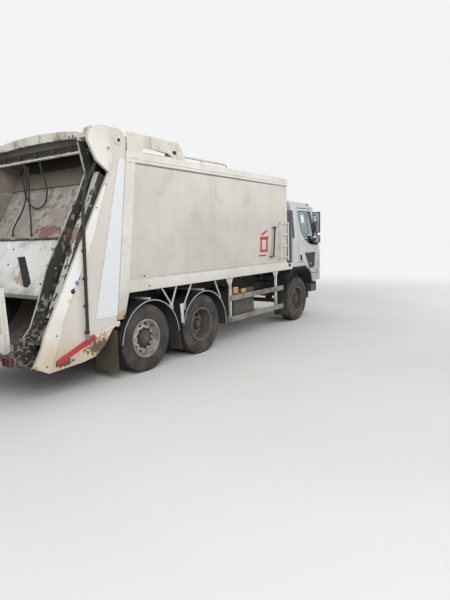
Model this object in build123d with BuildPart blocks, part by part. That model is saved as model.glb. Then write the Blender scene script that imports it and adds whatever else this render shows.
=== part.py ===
from build123d import *
import math
import os

# A three-axle rear-loading refuse truck. +X is forward, +Y is left and +Z is up.
# The origin is on the ground under the middle of the overall length and width.

# Lengths along the truck
FRONT_OVERHANG = 1365
WHEELBASE = 3845
BOGIE_SPACING = 1370
REAR_OVERHANG = 2600
OVERALL_LENGTH = FRONT_OVERHANG + WHEELBASE + BOGIE_SPACING + REAR_OVERHANG
FRONT_X = OVERALL_LENGTH / 2 - FRONT_OVERHANG
DRIVE_X = FRONT_X - WHEELBASE
TAG_X = DRIVE_X - BOGIE_SPACING

# Clearances
SEAT = 0.3
RUNNING = 0.1
MOVING_GAP = 6
DOOR_GAP = 13

# Wheels and tyres
TYRE_RADIUS = 520
TYRE_WIDTH = 300
TYRE_SHOULDER = 26
TYRE_BULGE = 12
TWIN_WIDTH = 284
TWIN_SPACING = 334
RIM_RADIUS = 286
RIM_WALL = 16
RIM_FLANGE = 14
HUB_RADIUS = 115
DRUM_RADIUS = 205
DISC_THICK = 18
HAND_HOLES = 10
HAND_HOLE_RADIUS = 30
SPINDLE_RADIUS = 50
FRONT_TYRE_Y = 1045
TAG_TYRE_Y = 1070
TWIN_OUTER_Y = 1090
KINGPIN_Y = 920
KINGPIN_RADIUS = 25
AXLE_Z = TYRE_RADIUS

# Chassis frame
RAIL_HALF = 425
RAIL_WEB = 8
RAIL_FLANGE = 85
RAIL_DEPTH = 270
RAIL_TOP = 1060
RAIL_BOTTOM = RAIL_TOP - RAIL_DEPTH
FRAME_REAR_X = TAG_X - 570
FRAME_FRONT_X = FRONT_X + 1120

# Rear mudguards
GUARD_RADIUS = 630
GUARD_THICK = 10
GUARD_DROP = 50
GUARD_AHEAD = 95
GUARD_INNER = 600

# Container body
BODY_HALF = 1245
SILL_BOTTOM = 1261
SILL_TOP = 1405
SILL_INNER = BODY_HALF - 145
SIDE_INNER = BODY_HALF - 80
PANEL_FOOT = 1450
PANEL_HALF = BODY_HALF - 31
PANEL_BULGE = 18
TOP_RAIL_BOTTOM = 3135
BODY_TOP = 3281
ROOF_THICK = 60
ROOF_ARCH = 50
FLOOR_TOP = 1350
FLOOR_THICK = 50
BODY_FRONT_X = FRONT_X - 595
SILL_FRONT_X = FRONT_X - 360
WALL_THICK = 60

# Joint between body and tailgate, a line that leans forward at its top
SEAM_TOP_X = TAG_X - 285
SEAM_SLOPE = 0.1345
POST_FOOT = 900
POST_DEPTH = 190

# Tailgate
TAIL_OUTER = BODY_HALF + 5
TAIL_PLATE = 50
PANEL_STEP = 15
LIP_Z = 800
BIN_AXIS_BEHIND = 2262
BIN_AXIS_Z = 860
BIN_TUBE = 55
INNER_WALL_Y = TAIL_OUTER - 240
INNER_WALL = 30
HINGE_X = TAG_X - 437
HINGE_Z = 3395
HINGE_PIN = 38
HINGE_ROUND = 158
GUIDE_TOP_X = TAG_X - 650
GUIDE_TOP_Z = 2944
GUIDE_ANGLE = 59.7
RECESS_DEPTH = 230
GUIDE_RAIL = 22
GUIDE_RAIL_IN = 26
CARRIAGE_IN = 60
CARRIAGE_OUT = 200

# Pipe on the tailgate
PIPE_RADIUS = 22
PIPE_OFF = 26
HOSE_RADIUS = 12

# Packer
CARRIAGE_STROKE = 600
PACKER_Y = INNER_WALL_Y + 110
PACKER_BARREL = 48
PACKER_ROD = 30
BLADE_PIN = 28

# Tailgate lift cylinders
LIFT_Y = BODY_HALF - 160
LIFT_FRONT_X = TAG_X + 860
LIFT_FRONT_Z = BODY_TOP + 129
LIFT_REAR_X = TAG_X - 800
LIFT_REAR_Z = HINGE_Z + 105
LIFT_BARREL = 42
LIFT_ROD = 24
LIFT_PIN = 18

# Cab
CAB_REAR_X = FRONT_X - 345
CAB_FRONT_X = FRONT_X + 1190
CAB_FLOOR_Z = 1300
CAB_ROOF_Z = 2830
CAB_HALF = BODY_HALF - 5
CAB_WALL = 55
CAB_PIVOT_X = FRONT_X + 1150
CAB_PIVOT_Z = 850
DOOR_HINGE_X = FRONT_X + 1050
DOOR_HINGE_Y = CAB_HALF + 13
BUMPER_TOP = 840
LAMP_Z = (665, 805)


def upright(y):
    """Plane at one width: x runs forward, y runs up, and it extrudes to the right."""
    return Plane(origin=(0, y, 0), x_dir=(1, 0, 0), z_dir=(0, -1, 0))


def crosswise(x):
    """Plane at one length: x runs to the left, y runs up, and it extrudes forward."""
    return Plane(origin=(x, 0, 0), x_dir=(0, 1, 0), z_dir=(1, 0, 0))


def seam_x(z):
    """Where the body ends and the tailgate starts, at one height."""
    return SEAM_TOP_X + (z - BODY_TOP) * SEAM_SLOPE


def guide(along, inward):
    """A point beside the packer guide: along it from its top, and forward of its rear edge."""
    lean = math.radians(GUIDE_ANGLE)
    x = GUIDE_TOP_X - along * math.cos(lean) + inward * math.sin(lean)
    z = GUIDE_TOP_Z - along * math.sin(lean) - inward * math.cos(lean)
    return (x, z)


def plate(outline, y, thick, mode=Mode.ADD):
    """A flat plate with an outline in X and Z, from y towards the right."""
    with BuildSketch(upright(y)) as face:
        with BuildLine():
            Polyline(*outline, close=True)
        make_face()
    extrude(face.sketch, amount=thick, mode=mode)


def beam(outline, x, length, mode=Mode.ADD):
    """A straight member with a section in Y and Z, from x forward."""
    with BuildSketch(crosswise(x)) as face:
        with BuildLine():
            Polyline(*outline, close=True)
        make_face()
    extrude(face.sketch, amount=length, mode=mode)


def block(x, y, z, mode=Mode.ADD):
    """A box between two lengths, two widths and two heights."""
    with Locations(((x[0] + x[1]) / 2, (y[0] + y[1]) / 2, (z[0] + z[1]) / 2)):
        Box(x[1] - x[0], y[1] - y[0], z[1] - z[0], mode=mode)


def disc(x, z, radius, y, thick, mode=Mode.ADD):
    """A round boss or hole along Y, from y towards the right."""
    with BuildSketch(upright(y)) as face:
        with Locations((x, z)):
            Circle(radius)
    extrude(face.sketch, amount=thick, mode=mode)


def bar(start, end, radius, mode=Mode.ADD):
    """A round bar between two points."""
    axis = Vector(*end) - Vector(*start)
    with BuildSketch(Plane(origin=start, z_dir=axis)) as face:
        Circle(radius)
    extrude(face.sketch, amount=axis.length, mode=mode)


def keep(piece, name):
    """Label a finished piece and write it to its file."""
    piece.part.label = name
    export_step(piece.part, f"parts/{name}.step")


def keep_both(piece, name):
    """Write a right-hand piece, and its mirror image for the left."""
    keep(piece, f"{name}_right")
    with BuildPart() as other:
        mirror(piece.part, about=Plane.XZ)
    keep(other, f"{name}_left")


def hose(points, radius):
    """A hose along straight runs, joined by the largest arcs that fit them."""
    route = [Vector(*spot) for spot in points]
    bends = []
    for before, here, after in zip(route, route[1:], route[2:]):
        first = here - before
        last = after - here
        half_turn = math.radians(first.get_angle(last)) / 2
        bends.append(0.45 * min(first.length, last.length) / math.tan(half_turn))
    with BuildLine() as run:
        FilletPolyline(*points, radius=bends)
    wire = run.wire()
    with BuildSketch(Plane(origin=wire @ 0, z_dir=wire % 0)) as section:
        Circle(radius)
    sweep(section.sketch, path=wire)
    print("hose length", round(wire.length), "bends", [round(bend) for bend in bends])
    return wire


def ring_section(centre, half, outline):
    """Revolve an outline of (offset from the centre plane, radius) about the axle."""
    with BuildSketch(Plane.YZ) as face:
        with BuildLine():
            Polyline(*[(centre + side, radius) for side, radius in outline], close=True)
        make_face()
    revolve(face.sketch, axis=Axis.Y)


def tyre(centre, width):
    """One tyre about the Y axis, its centre plane at this width from the truck's middle."""
    half = width / 2
    bead = half - RIM_FLANGE * 2
    shoulder = TYRE_RADIUS - TYRE_SHOULDER
    clear = RIM_RADIUS + RIM_FLANGE + 2
    with BuildSketch(Plane.YZ) as face:
        with BuildLine():
            Polyline(
                (-bead + centre, clear),
                (-bead + centre, RIM_RADIUS),
                (bead + centre, RIM_RADIUS),
                (bead + centre, clear),
            )
            ThreePointArc(
                (bead + centre, clear),
                (half + centre, (RIM_RADIUS + shoulder) / 2),
                (half - TYRE_BULGE + centre, shoulder),
            )
            Polyline(
                (half - TYRE_BULGE + centre, shoulder),
                (half - TYRE_SHOULDER - TYRE_BULGE + centre, TYRE_RADIUS),
                (-half + TYRE_SHOULDER + TYRE_BULGE + centre, TYRE_RADIUS),
                (-half + TYRE_BULGE + centre, shoulder),
            )
            ThreePointArc(
                (-half + TYRE_BULGE + centre, shoulder),
                (-half + centre, (RIM_RADIUS + shoulder) / 2),
                (-bead + centre, clear),
            )
        make_face()
    revolve(face.sketch, axis=Axis.Y)


def rim_ring(centre, width):
    """The rolled rim that one tyre sits on, with its two flanges."""
    half = width / 2 - RIM_FLANGE
    outer = RIM_RADIUS - SEAT
    inner = outer - RIM_WALL
    lip = outer + RIM_FLANGE
    bead = width / 2 - RIM_FLANGE * 2 + SEAT
    ring_section(centre, half, [
        (-half, inner), (half, inner), (half, lip), (bead, lip), (bead, outer),
        (-bead, outer), (-bead, lip), (-half, lip),
    ])


def move_to_axle(x, piece):
    """A finished wheel piece moved from the Y axis to its axle."""
    with BuildPart() as placed:
        add(Pos(x, 0, AXLE_Z) * piece)
    return placed


def single_rim(tyre_y, inner_y):
    """Rim, disc, brake drum and hub of a wheel with one tyre, on the right."""
    half = TYRE_WIDTH / 2 - RIM_FLANGE
    disc_edge = RIM_RADIUS - SEAT - RIM_WALL
    face_y = -tyre_y - 78
    root_y = -tyre_y - 20
    cap_y = -tyre_y - 118
    with BuildPart() as wheel:
        rim_ring(-tyre_y, half * 2 + RIM_FLANGE * 2)
        with BuildSketch(Plane.YZ) as face:
            with BuildLine():
                Polyline(
                    (root_y, disc_edge), (face_y, 175), (face_y, HUB_RADIUS - 5),
                    (face_y + DISC_THICK, HUB_RADIUS - 5), (face_y + DISC_THICK, 168),
                    (root_y + DISC_THICK, disc_edge), close=True,
                )
            make_face()
        revolve(face.sketch, axis=Axis.Y)
        with BuildSketch(upright(0)) as holes:
            with PolarLocations(212, HAND_HOLES):
                Circle(HAND_HOLE_RADIUS)
        extrude(holes.sketch, amount=tyre_y + 150, mode=Mode.SUBTRACT)
        with BuildSketch(Plane.YZ) as face:
            with BuildLine():
                Polyline(
                    (-inner_y, SPINDLE_RADIUS + RUNNING), (-inner_y, DRUM_RADIUS),
                    (face_y + 60, DRUM_RADIUS), (face_y + 60, 140), (face_y, 140),
                    (face_y, HUB_RADIUS), (cap_y + 20, HUB_RADIUS), (cap_y, HUB_RADIUS - 22),
                    (cap_y, 0), (cap_y + 22, 0), (cap_y + 22, SPINDLE_RADIUS + RUNNING),
                    close=True,
                )
            make_face()
        revolve(face.sketch, axis=Axis.Y)
    return wheel.part


def twin_rim(inner_y):
    """Both rims of a twin wheel on one hub: the outer one is deep-dished."""
    outer_y = -TWIN_OUTER_Y
    middle = outer_y + TWIN_SPACING / 2
    disc_edge = RIM_RADIUS - SEAT - RIM_WALL
    cap_y = outer_y - 60
    with BuildPart() as wheel:
        rim_ring(outer_y, TWIN_WIDTH)
        rim_ring(outer_y + TWIN_SPACING, TWIN_WIDTH)
        with BuildSketch(Plane.YZ) as face:
            with BuildLine():
                Polyline(
                    (outer_y + 90, disc_edge), (outer_y + 90 + DISC_THICK, disc_edge),
                    (middle, 190), (middle + TWIN_SPACING / 2 - 90 - DISC_THICK, disc_edge),
                    (middle + TWIN_SPACING / 2 - 90, disc_edge), (middle + DISC_THICK, 160),
                    (middle + DISC_THICK, 100), (middle - DISC_THICK, 100),
                    (middle - DISC_THICK, 160), close=True,
                )
            make_face()
        revolve(face.sketch, axis=Axis.Y)
        with BuildSketch(upright(0)) as holes:
            with PolarLocations(215, HAND_HOLES):
                Circle(HAND_HOLE_RADIUS)
        extrude(holes.sketch, amount=TWIN_OUTER_Y + 150, mode=Mode.SUBTRACT)
        with BuildSketch(Plane.YZ) as face:
            with BuildLine():
                Polyline(
                    (-inner_y, SPINDLE_RADIUS + RUNNING), (-inner_y, DRUM_RADIUS),
                    (middle + 70, DRUM_RADIUS), (middle + 70, 130), (outer_y - 20, 130),
                    (outer_y - 20, 100), (cap_y, 84), (cap_y, 0), (cap_y + 22, 0),
                    (cap_y + 22, SPINDLE_RADIUS + RUNNING), close=True,
                )
            make_face()
        revolve(face.sketch, axis=Axis.Y)
    return wheel.part


def make_wheels():
    """Tyres and rims of the six wheel bodies."""
    # name, axle position, tyre centres, tyre width
    singles = [
        ("front", FRONT_X, FRONT_TYRE_Y, KINGPIN_Y + 64),
        ("tag", TAG_X, TAG_TYRE_Y, 800),
    ]
    for name, axle_x, tyre_y, inner_y in singles:
        with BuildPart() as rubber:
            tyre(-tyre_y, TYRE_WIDTH)
        keep_both(move_to_axle(axle_x, rubber.part), f"{name}_tyre")
        keep_both(move_to_axle(axle_x, single_rim(tyre_y, inner_y)), f"{name}_rim")
    with BuildPart() as rubber:
        tyre(-TWIN_OUTER_Y, TWIN_WIDTH)
        tyre(-TWIN_OUTER_Y + TWIN_SPACING, TWIN_WIDTH)
    keep_both(move_to_axle(DRIVE_X, rubber.part), "drive_tyres")
    keep_both(move_to_axle(DRIVE_X, twin_rim(620)), "drive_rims")


def make_chassis_frame():
    """Two channel rails, their cross members and the cab's pivot brackets."""
    length = FRAME_FRONT_X - FRAME_REAR_X
    inner = RAIL_HALF - RAIL_WEB
    with BuildPart() as frame:
        beam([
            (-RAIL_HALF, RAIL_BOTTOM), (-RAIL_HALF, RAIL_TOP),
            (-RAIL_HALF + RAIL_FLANGE, RAIL_TOP), (-RAIL_HALF + RAIL_FLANGE, RAIL_TOP - RAIL_WEB),
            (-inner, RAIL_TOP - RAIL_WEB), (-inner, RAIL_BOTTOM + RAIL_WEB),
            (-RAIL_HALF + RAIL_FLANGE, RAIL_BOTTOM + RAIL_WEB), (-RAIL_HALF + RAIL_FLANGE, RAIL_BOTTOM),
        ], FRAME_REAR_X, length)
        # The pivot bracket stands out of the rail's front end
        plate([
            (FRAME_FRONT_X - 90, RAIL_BOTTOM), (FRAME_FRONT_X - 90, CAB_PIVOT_Z + 40),
            (CAB_PIVOT_X, CAB_PIVOT_Z + 40), (CAB_PIVOT_X, CAB_PIVOT_Z - 40),
            (FRAME_FRONT_X, RAIL_BOTTOM),
        ], -inner, RAIL_WEB)
        disc(CAB_PIVOT_X, CAB_PIVOT_Z, 40, -inner, RAIL_WEB)
        disc(CAB_PIVOT_X, CAB_PIVOT_Z, 20, -RAIL_HALF, 60)
        mirror(about=Plane.XZ)
        # Cross members, by their distance from the axle beside them
        members = [
            FRAME_REAR_X + 40, TAG_X + 560, DRIVE_X + 620, FRONT_X - 1900, FRONT_X - 1250,
            FRAME_FRONT_X - 110,
        ]
        for x in members:
            block((x - 30, x + 30), (-inner, inner), (RAIL_TOP - 170, RAIL_TOP - RAIL_WEB))
    keep(frame, "chassis_frame")


def make_engine():
    """Engine as one plain block, with the gearbox behind it and the radiator ahead."""
    with BuildPart() as engine:
        block((FRONT_X - 265, FRONT_X + 835), (-300, 300), (630, 1270))
        block((FRONT_X + 835, FRONT_X + 960), (-330, 330), (700, 1290))
        block((FRONT_X - 1065, FRONT_X - 265), (-190, 190), (640, 1010))
        # Mountings that reach the rails
        for x in (FRONT_X - 900, FRONT_X + 100, FRONT_X + 700):
            block((x - 50, x + 50), (-RAIL_HALF + RAIL_WEB, RAIL_HALF - RAIL_WEB), (860, 940))
    keep(engine, "engine")


def make_front_axle():
    """Dropped beam with a kingpin through the eye at each end."""
    with BuildPart() as axle:
        block((FRONT_X - 50, FRONT_X + 50), (-640, 640), (400, 490))
        with BuildSketch(crosswise(FRONT_X - 45)) as face:
            with BuildLine():
                Polyline(
                    (-580, 400), (-580, 490), (-700, 490), (-760, AXLE_Z + 40), (-KINGPIN_Y, AXLE_Z + 40),
                    (-KINGPIN_Y, AXLE_Z - 60), (-790, AXLE_Z - 60), (-700, 400), close=True,
                )
            make_face()
        extrude(face.sketch, amount=90)
        with BuildSketch(Plane.XY.offset(AXLE_Z - 62)) as eye:
            with Locations((FRONT_X, -KINGPIN_Y)):
                Circle(52)
        extrude(eye.sketch, amount=124)
        with BuildSketch(Plane.XY.offset(AXLE_Z - 130)) as pin:
            with Locations((FRONT_X, -KINGPIN_Y)):
                Circle(KINGPIN_RADIUS)
        extrude(pin.sketch, amount=260)
        # Seat of the leaf spring
        block((FRONT_X - 90, FRONT_X + 90), (-445, -345), (490, 560))
        mirror(about=Plane.XZ)
    keep(axle, "front_axle")


def make_knuckles():
    """Steering knuckle: two lugs on the kingpin, the spindle and the steering arm."""
    back = -KINGPIN_Y - 60
    with BuildPart() as knuckle:
        for low, high in ((AXLE_Z - 125, AXLE_Z - 66), (AXLE_Z + 66, AXLE_Z + 125)):
            block((FRONT_X - 50, FRONT_X + 50), (back, -KINGPIN_Y + 50), (low, high))
        block((FRONT_X - 50, FRONT_X + 50), (back, back + 6), (AXLE_Z - 125, AXLE_Z + 125))
        disc(FRONT_X, AXLE_Z, SPINDLE_RADIUS, back + 6, FRONT_TYRE_Y + 90 + back + 6)
        with BuildSketch(Plane.XY.offset(AXLE_Z - 130)) as bore:
            with Locations((FRONT_X, -KINGPIN_Y)):
                Circle(KINGPIN_RADIUS + RUNNING)
        extrude(bore.sketch, amount=260, mode=Mode.SUBTRACT)
        # Steering arm, behind the axle
        block((FRONT_X - 200, FRONT_X - 50), (-KINGPIN_Y - 20, -KINGPIN_Y + 30), (AXLE_Z - 125, AXLE_Z - 85))
    keep_both(knuckle, "knuckle")


def make_drive_axle():
    """Housing with its differential, spindles and the propeller shaft to the gearbox."""
    nose = DRIVE_X + 330
    flange_x = FRONT_X - 1065 - SEAT
    with BuildPart() as axle:
        with BuildSketch(upright(TWIN_OUTER_Y + 30)) as spindle:
            with Locations((DRIVE_X, AXLE_Z)):
                Circle(SPINDLE_RADIUS)
        extrude(spindle.sketch, amount=2 * TWIN_OUTER_Y + 60)
        disc(DRIVE_X, AXLE_Z, 90, 600, 1200)
        with Locations((DRIVE_X, 0, AXLE_Z)):
            Sphere(200)
        bar((DRIVE_X, 0, AXLE_Z), (nose, 0, AXLE_Z + 30), 90)
        bar((nose, 0, AXLE_Z + 30), (flange_x - 40, 0, 800), 45)
        bar((flange_x - 60, 0, 800), (flange_x, 0, 800), 70)
        for side in (-1, 1):
            block((DRIVE_X - 60, DRIVE_X + 60), (side * 395 - 50, side * 395 + 50), (AXLE_Z, 640))
    keep(axle, "drive_axle")


def make_tag_axle():
    """Straight tubular beam with a spindle at each end."""
    with BuildPart() as axle:
        disc(TAG_X, AXLE_Z, SPINDLE_RADIUS, TAG_TYRE_Y + 90, 2 * TAG_TYRE_Y + 180)
        disc(TAG_X, AXLE_Z, 75, 780, 1560)
        for side in (-1, 1):
            block((TAG_X - 60, TAG_X + 60), (side * 395 - 50, side * 395 + 50), (AXLE_Z, 640))
    keep(axle, "tag_axle")


def make_leaf_springs():
    """A bowed leaf pack over each end of each axle, with hangers up to the rails."""
    # axle position, half length, height of its seat
    springs = [
        (FRONT_X, 700, 560),
        (DRIVE_X, 560, 640),
        (TAG_X, 560, 640),
    ]
    thick = 60
    with BuildPart() as packs:
        for x, half, seat in springs:
            top = RAIL_BOTTOM - 40
            with BuildSketch(upright(-355)) as face:
                with BuildLine():
                    ThreePointArc((x - half, top - thick), (x, seat), (x + half, top - thick))
                    Line((x + half, top - thick), (x + half, top))
                    ThreePointArc((x + half, top), (x, seat + thick), (x - half, top))
                    Line((x - half, top), (x - half, top - thick))
                make_face()
            extrude(face.sketch, amount=80)
            for end in (x - half, x + half - 60):
                block((end, end + 60), (-435, -355), (top - thick, RAIL_BOTTOM))
        mirror(about=Plane.XZ)
    keep(packs, "leaf_springs")


def make_body_sides():
    """Bulged side walls with sill, top rail, rear post and the ear that carries the tailgate."""
    rear = seam_x(0) - 20
    with BuildPart() as sides:
        with BuildSketch(crosswise(rear)) as face:
            with BuildLine():
                Polyline(
                    (-PANEL_HALF, TOP_RAIL_BOTTOM - 20), (-BODY_HALF, TOP_RAIL_BOTTOM),
                    (-BODY_HALF, BODY_TOP), (-SIDE_INNER, BODY_TOP), (-SIDE_INNER, FLOOR_TOP),
                    (-SILL_INNER, FLOOR_TOP), (-SILL_INNER, SILL_BOTTOM), (-BODY_HALF + 5, SILL_BOTTOM),
                    (-BODY_HALF + 5, SILL_TOP), (-PANEL_HALF, PANEL_FOOT),
                )
                ThreePointArc(
                    (-PANEL_HALF, PANEL_FOOT),
                    (-PANEL_HALF - PANEL_BULGE, (PANEL_FOOT + TOP_RAIL_BOTTOM) / 2),
                    (-PANEL_HALF, TOP_RAIL_BOTTOM - 20),
                )
            make_face()
        extrude(face.sketch, amount=BODY_FRONT_X - rear)
        # The sill runs on past the front wall
        beam([
            (-BODY_HALF + 5, SILL_BOTTOM), (-BODY_HALF + 5, SILL_TOP), (-SILL_INNER, SILL_TOP),
            (-SILL_INNER, SILL_BOTTOM),
        ], BODY_FRONT_X, SILL_FRONT_X - BODY_FRONT_X)
        plate([
            (rear, 0), (rear, BODY_TOP + 400), (seam_x(BODY_TOP + 400), BODY_TOP + 400), (seam_x(0), 0),
        ], -SILL_INNER + 50, 250, mode=Mode.SUBTRACT)
        # Rear post, proud of the panel
        plate([
            (seam_x(POST_FOOT), POST_FOOT), (seam_x(BODY_TOP), BODY_TOP),
            (seam_x(BODY_TOP) + POST_DEPTH, BODY_TOP), (seam_x(SILL_BOTTOM) + POST_DEPTH, SILL_BOTTOM),
            (seam_x(POST_FOOT) + POST_DEPTH - 60, POST_FOOT),
        ], -SIDE_INNER, TAIL_OUTER - SIDE_INNER)
        # Hinge ear and its pin
        plate([
            (HINGE_X, HINGE_Z + 70), (HINGE_X, HINGE_Z - 70), (seam_x(BODY_TOP), BODY_TOP),
            (seam_x(BODY_TOP) + 330, BODY_TOP), (seam_x(BODY_TOP) + 330, BODY_TOP + 20),
            (seam_x(BODY_TOP) + 200, HINGE_Z + 60),
        ], -SIDE_INNER + 25, 50)
        disc(HINGE_X, HINGE_Z, 70, -SIDE_INNER + 25, 50)
        disc(HINGE_X, HINGE_Z, HINGE_PIN, -SIDE_INNER - 25, TAIL_OUTER + 8 - SIDE_INNER - 25)
        mirror(about=Plane.XZ)
    keep(sides, "body_sides")


def make_body_roof():
    """Roof panel between the side walls, raised along its middle."""
    rear = seam_x(BODY_TOP - ROOF_THICK) + 12
    section = [
        (-SIDE_INNER, BODY_TOP - ROOF_THICK), (-SIDE_INNER, BODY_TOP), (-960, BODY_TOP),
        (-800, BODY_TOP + ROOF_ARCH), (800, BODY_TOP + ROOF_ARCH), (960, BODY_TOP),
        (SIDE_INNER, BODY_TOP), (SIDE_INNER, BODY_TOP - ROOF_THICK),
    ]
    with BuildPart() as roof:
        beam(section, rear, BODY_FRONT_X - rear)
    keep(roof, "body_roof")


def make_body_floor():
    """Floor plate on two long bearers and its cross bearers."""
    rear = seam_x(FLOOR_TOP - FLOOR_THICK) + 10
    with BuildPart() as floor:
        block((rear, BODY_FRONT_X), (-SILL_INNER, SILL_INNER), (FLOOR_TOP - FLOOR_THICK, FLOOR_TOP))
        for side in (-1, 1):
            inner = side * (RAIL_HALF - RAIL_FLANGE)
            outer = side * RAIL_HALF
            block((FRAME_REAR_X + 60, BODY_FRONT_X - 120), (min(inner, outer), max(inner, outer)),
                  (RAIL_TOP, FLOOR_TOP - FLOOR_THICK))
        bearers = 7
        pitch = (BODY_FRONT_X - rear - 300) / (bearers - 1)
        for index in range(bearers):
            x = rear + 150 + index * pitch
            block((x - 35, x + 35), (-SILL_INNER, SILL_INNER), (FLOOR_TOP - 150, FLOOR_TOP - FLOOR_THICK))
    keep(floor, "body_floor")


def make_front_wall():
    """Front wall of the container."""
    with BuildPart() as wall:
        block((BODY_FRONT_X - WALL_THICK, BODY_FRONT_X), (-SIDE_INNER, SIDE_INNER),
              (FLOOR_TOP, BODY_TOP - ROOF_THICK))
    keep(wall, "body_front_wall")


def make_cylinder_covers():
    """Cheek plate over each lift cylinder, with its long window and the cylinder's front bracket."""
    rear = HINGE_X + HINGE_ROUND + 14
    with BuildPart() as covers:
        plate([
            (rear, BODY_TOP), (rear, BODY_TOP + 235), (rear + 25, BODY_TOP + 260),
            (LIFT_FRONT_X - 20, BODY_TOP + 255), (LIFT_FRONT_X + 60, BODY_TOP + 200),
            (LIFT_FRONT_X + 175, BODY_TOP),
        ], -BODY_HALF + 12, 12)
        plate([
            (TAG_X + 23, BODY_TOP + 12), (TAG_X + 90, BODY_TOP + 75), (TAG_X + 600, BODY_TOP + 65),
            (TAG_X + 714, BODY_TOP + 12),
        ], -BODY_HALF + 40, 80, mode=Mode.SUBTRACT)
        block((rear + 25, LIFT_FRONT_X - 20), (-BODY_HALF, -BODY_HALF + 50),
              (BODY_TOP + 245, BODY_TOP + 255))
        # Bracket plates each side of the barrel's eye
        for y in (-LIFT_Y + 65, -LIFT_Y - 50):
            plate([
                (LIFT_FRONT_X - 110, BODY_TOP), (LIFT_FRONT_X - 45, LIFT_FRONT_Z + 45),
                (LIFT_FRONT_X + 45, LIFT_FRONT_Z + 45), (LIFT_FRONT_X + 120, BODY_TOP),
            ], y, 15)
        block((LIFT_FRONT_X + 60, LIFT_FRONT_X + 75), (-BODY_HALF, -LIFT_Y + 65), (BODY_TOP, BODY_TOP + 80))
        disc(LIFT_FRONT_X, LIFT_FRONT_Z, LIFT_PIN, -LIFT_Y + 65, 130)
        mirror(about=Plane.XZ)
    keep(covers, "cylinder_covers")


def make_lift_cylinders():
    """Barrel and rod of the two tailgate lift cylinders."""
    front = Vector(LIFT_FRONT_X, -LIFT_Y, LIFT_FRONT_Z)
    rear = Vector(LIFT_REAR_X, -LIFT_Y, LIFT_REAR_Z)
    reach = (rear - front).length
    along = (rear - front).normalized()
    barrel_end = front + along * 1180
    rod_start = front + along * (reach - 1020)
    with BuildPart() as barrels:
        disc(LIFT_FRONT_X, LIFT_FRONT_Z, 40, -LIFT_Y + 40, 80)
        bar(tuple(front), tuple(barrel_end), LIFT_BARREL)
        bar(tuple(front + along * 120), tuple(barrel_end + along * 10), LIFT_ROD + RUNNING, mode=Mode.SUBTRACT)
        disc(LIFT_FRONT_X, LIFT_FRONT_Z, LIFT_PIN + RUNNING, -LIFT_Y + 60, 120, mode=Mode.SUBTRACT)
        mirror(about=Plane.XZ)
    keep(barrels, "lift_barrels")
    with BuildPart() as rods:
        bar(tuple(rod_start), tuple(rear - along * 20), LIFT_ROD)
        disc(LIFT_REAR_X, LIFT_REAR_Z, 34, -LIFT_Y + 25, 50)
        disc(LIFT_REAR_X, LIFT_REAR_Z, LIFT_PIN + RUNNING, -LIFT_Y + 60, 120, mode=Mode.SUBTRACT)
        mirror(about=Plane.XZ)
    keep(rods, "lift_rods")


def tail_side(rear, y, thick):
    """One upright wall of the tailgate, rounded about the hinge at its front top corner."""
    foot = (seam_x(830) - MOVING_GAP, 830)
    corner = (seam_x(3373) - MOVING_GAP, 3373)
    middle = (HINGE_X + HINGE_ROUND * math.cos(math.radians(42)),
              HINGE_Z + HINGE_ROUND * math.sin(math.radians(42)))
    top = (HINGE_X, HINGE_Z + HINGE_ROUND)
    with BuildSketch(upright(y)) as face:
        with BuildLine():
            Line(foot, corner)
            ThreePointArc(corner, middle, top)
            Polyline(top, *[(TAG_X + x, z) for x, z in rear], foot)
        make_face()
    extrude(face.sketch, amount=thick)


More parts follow.
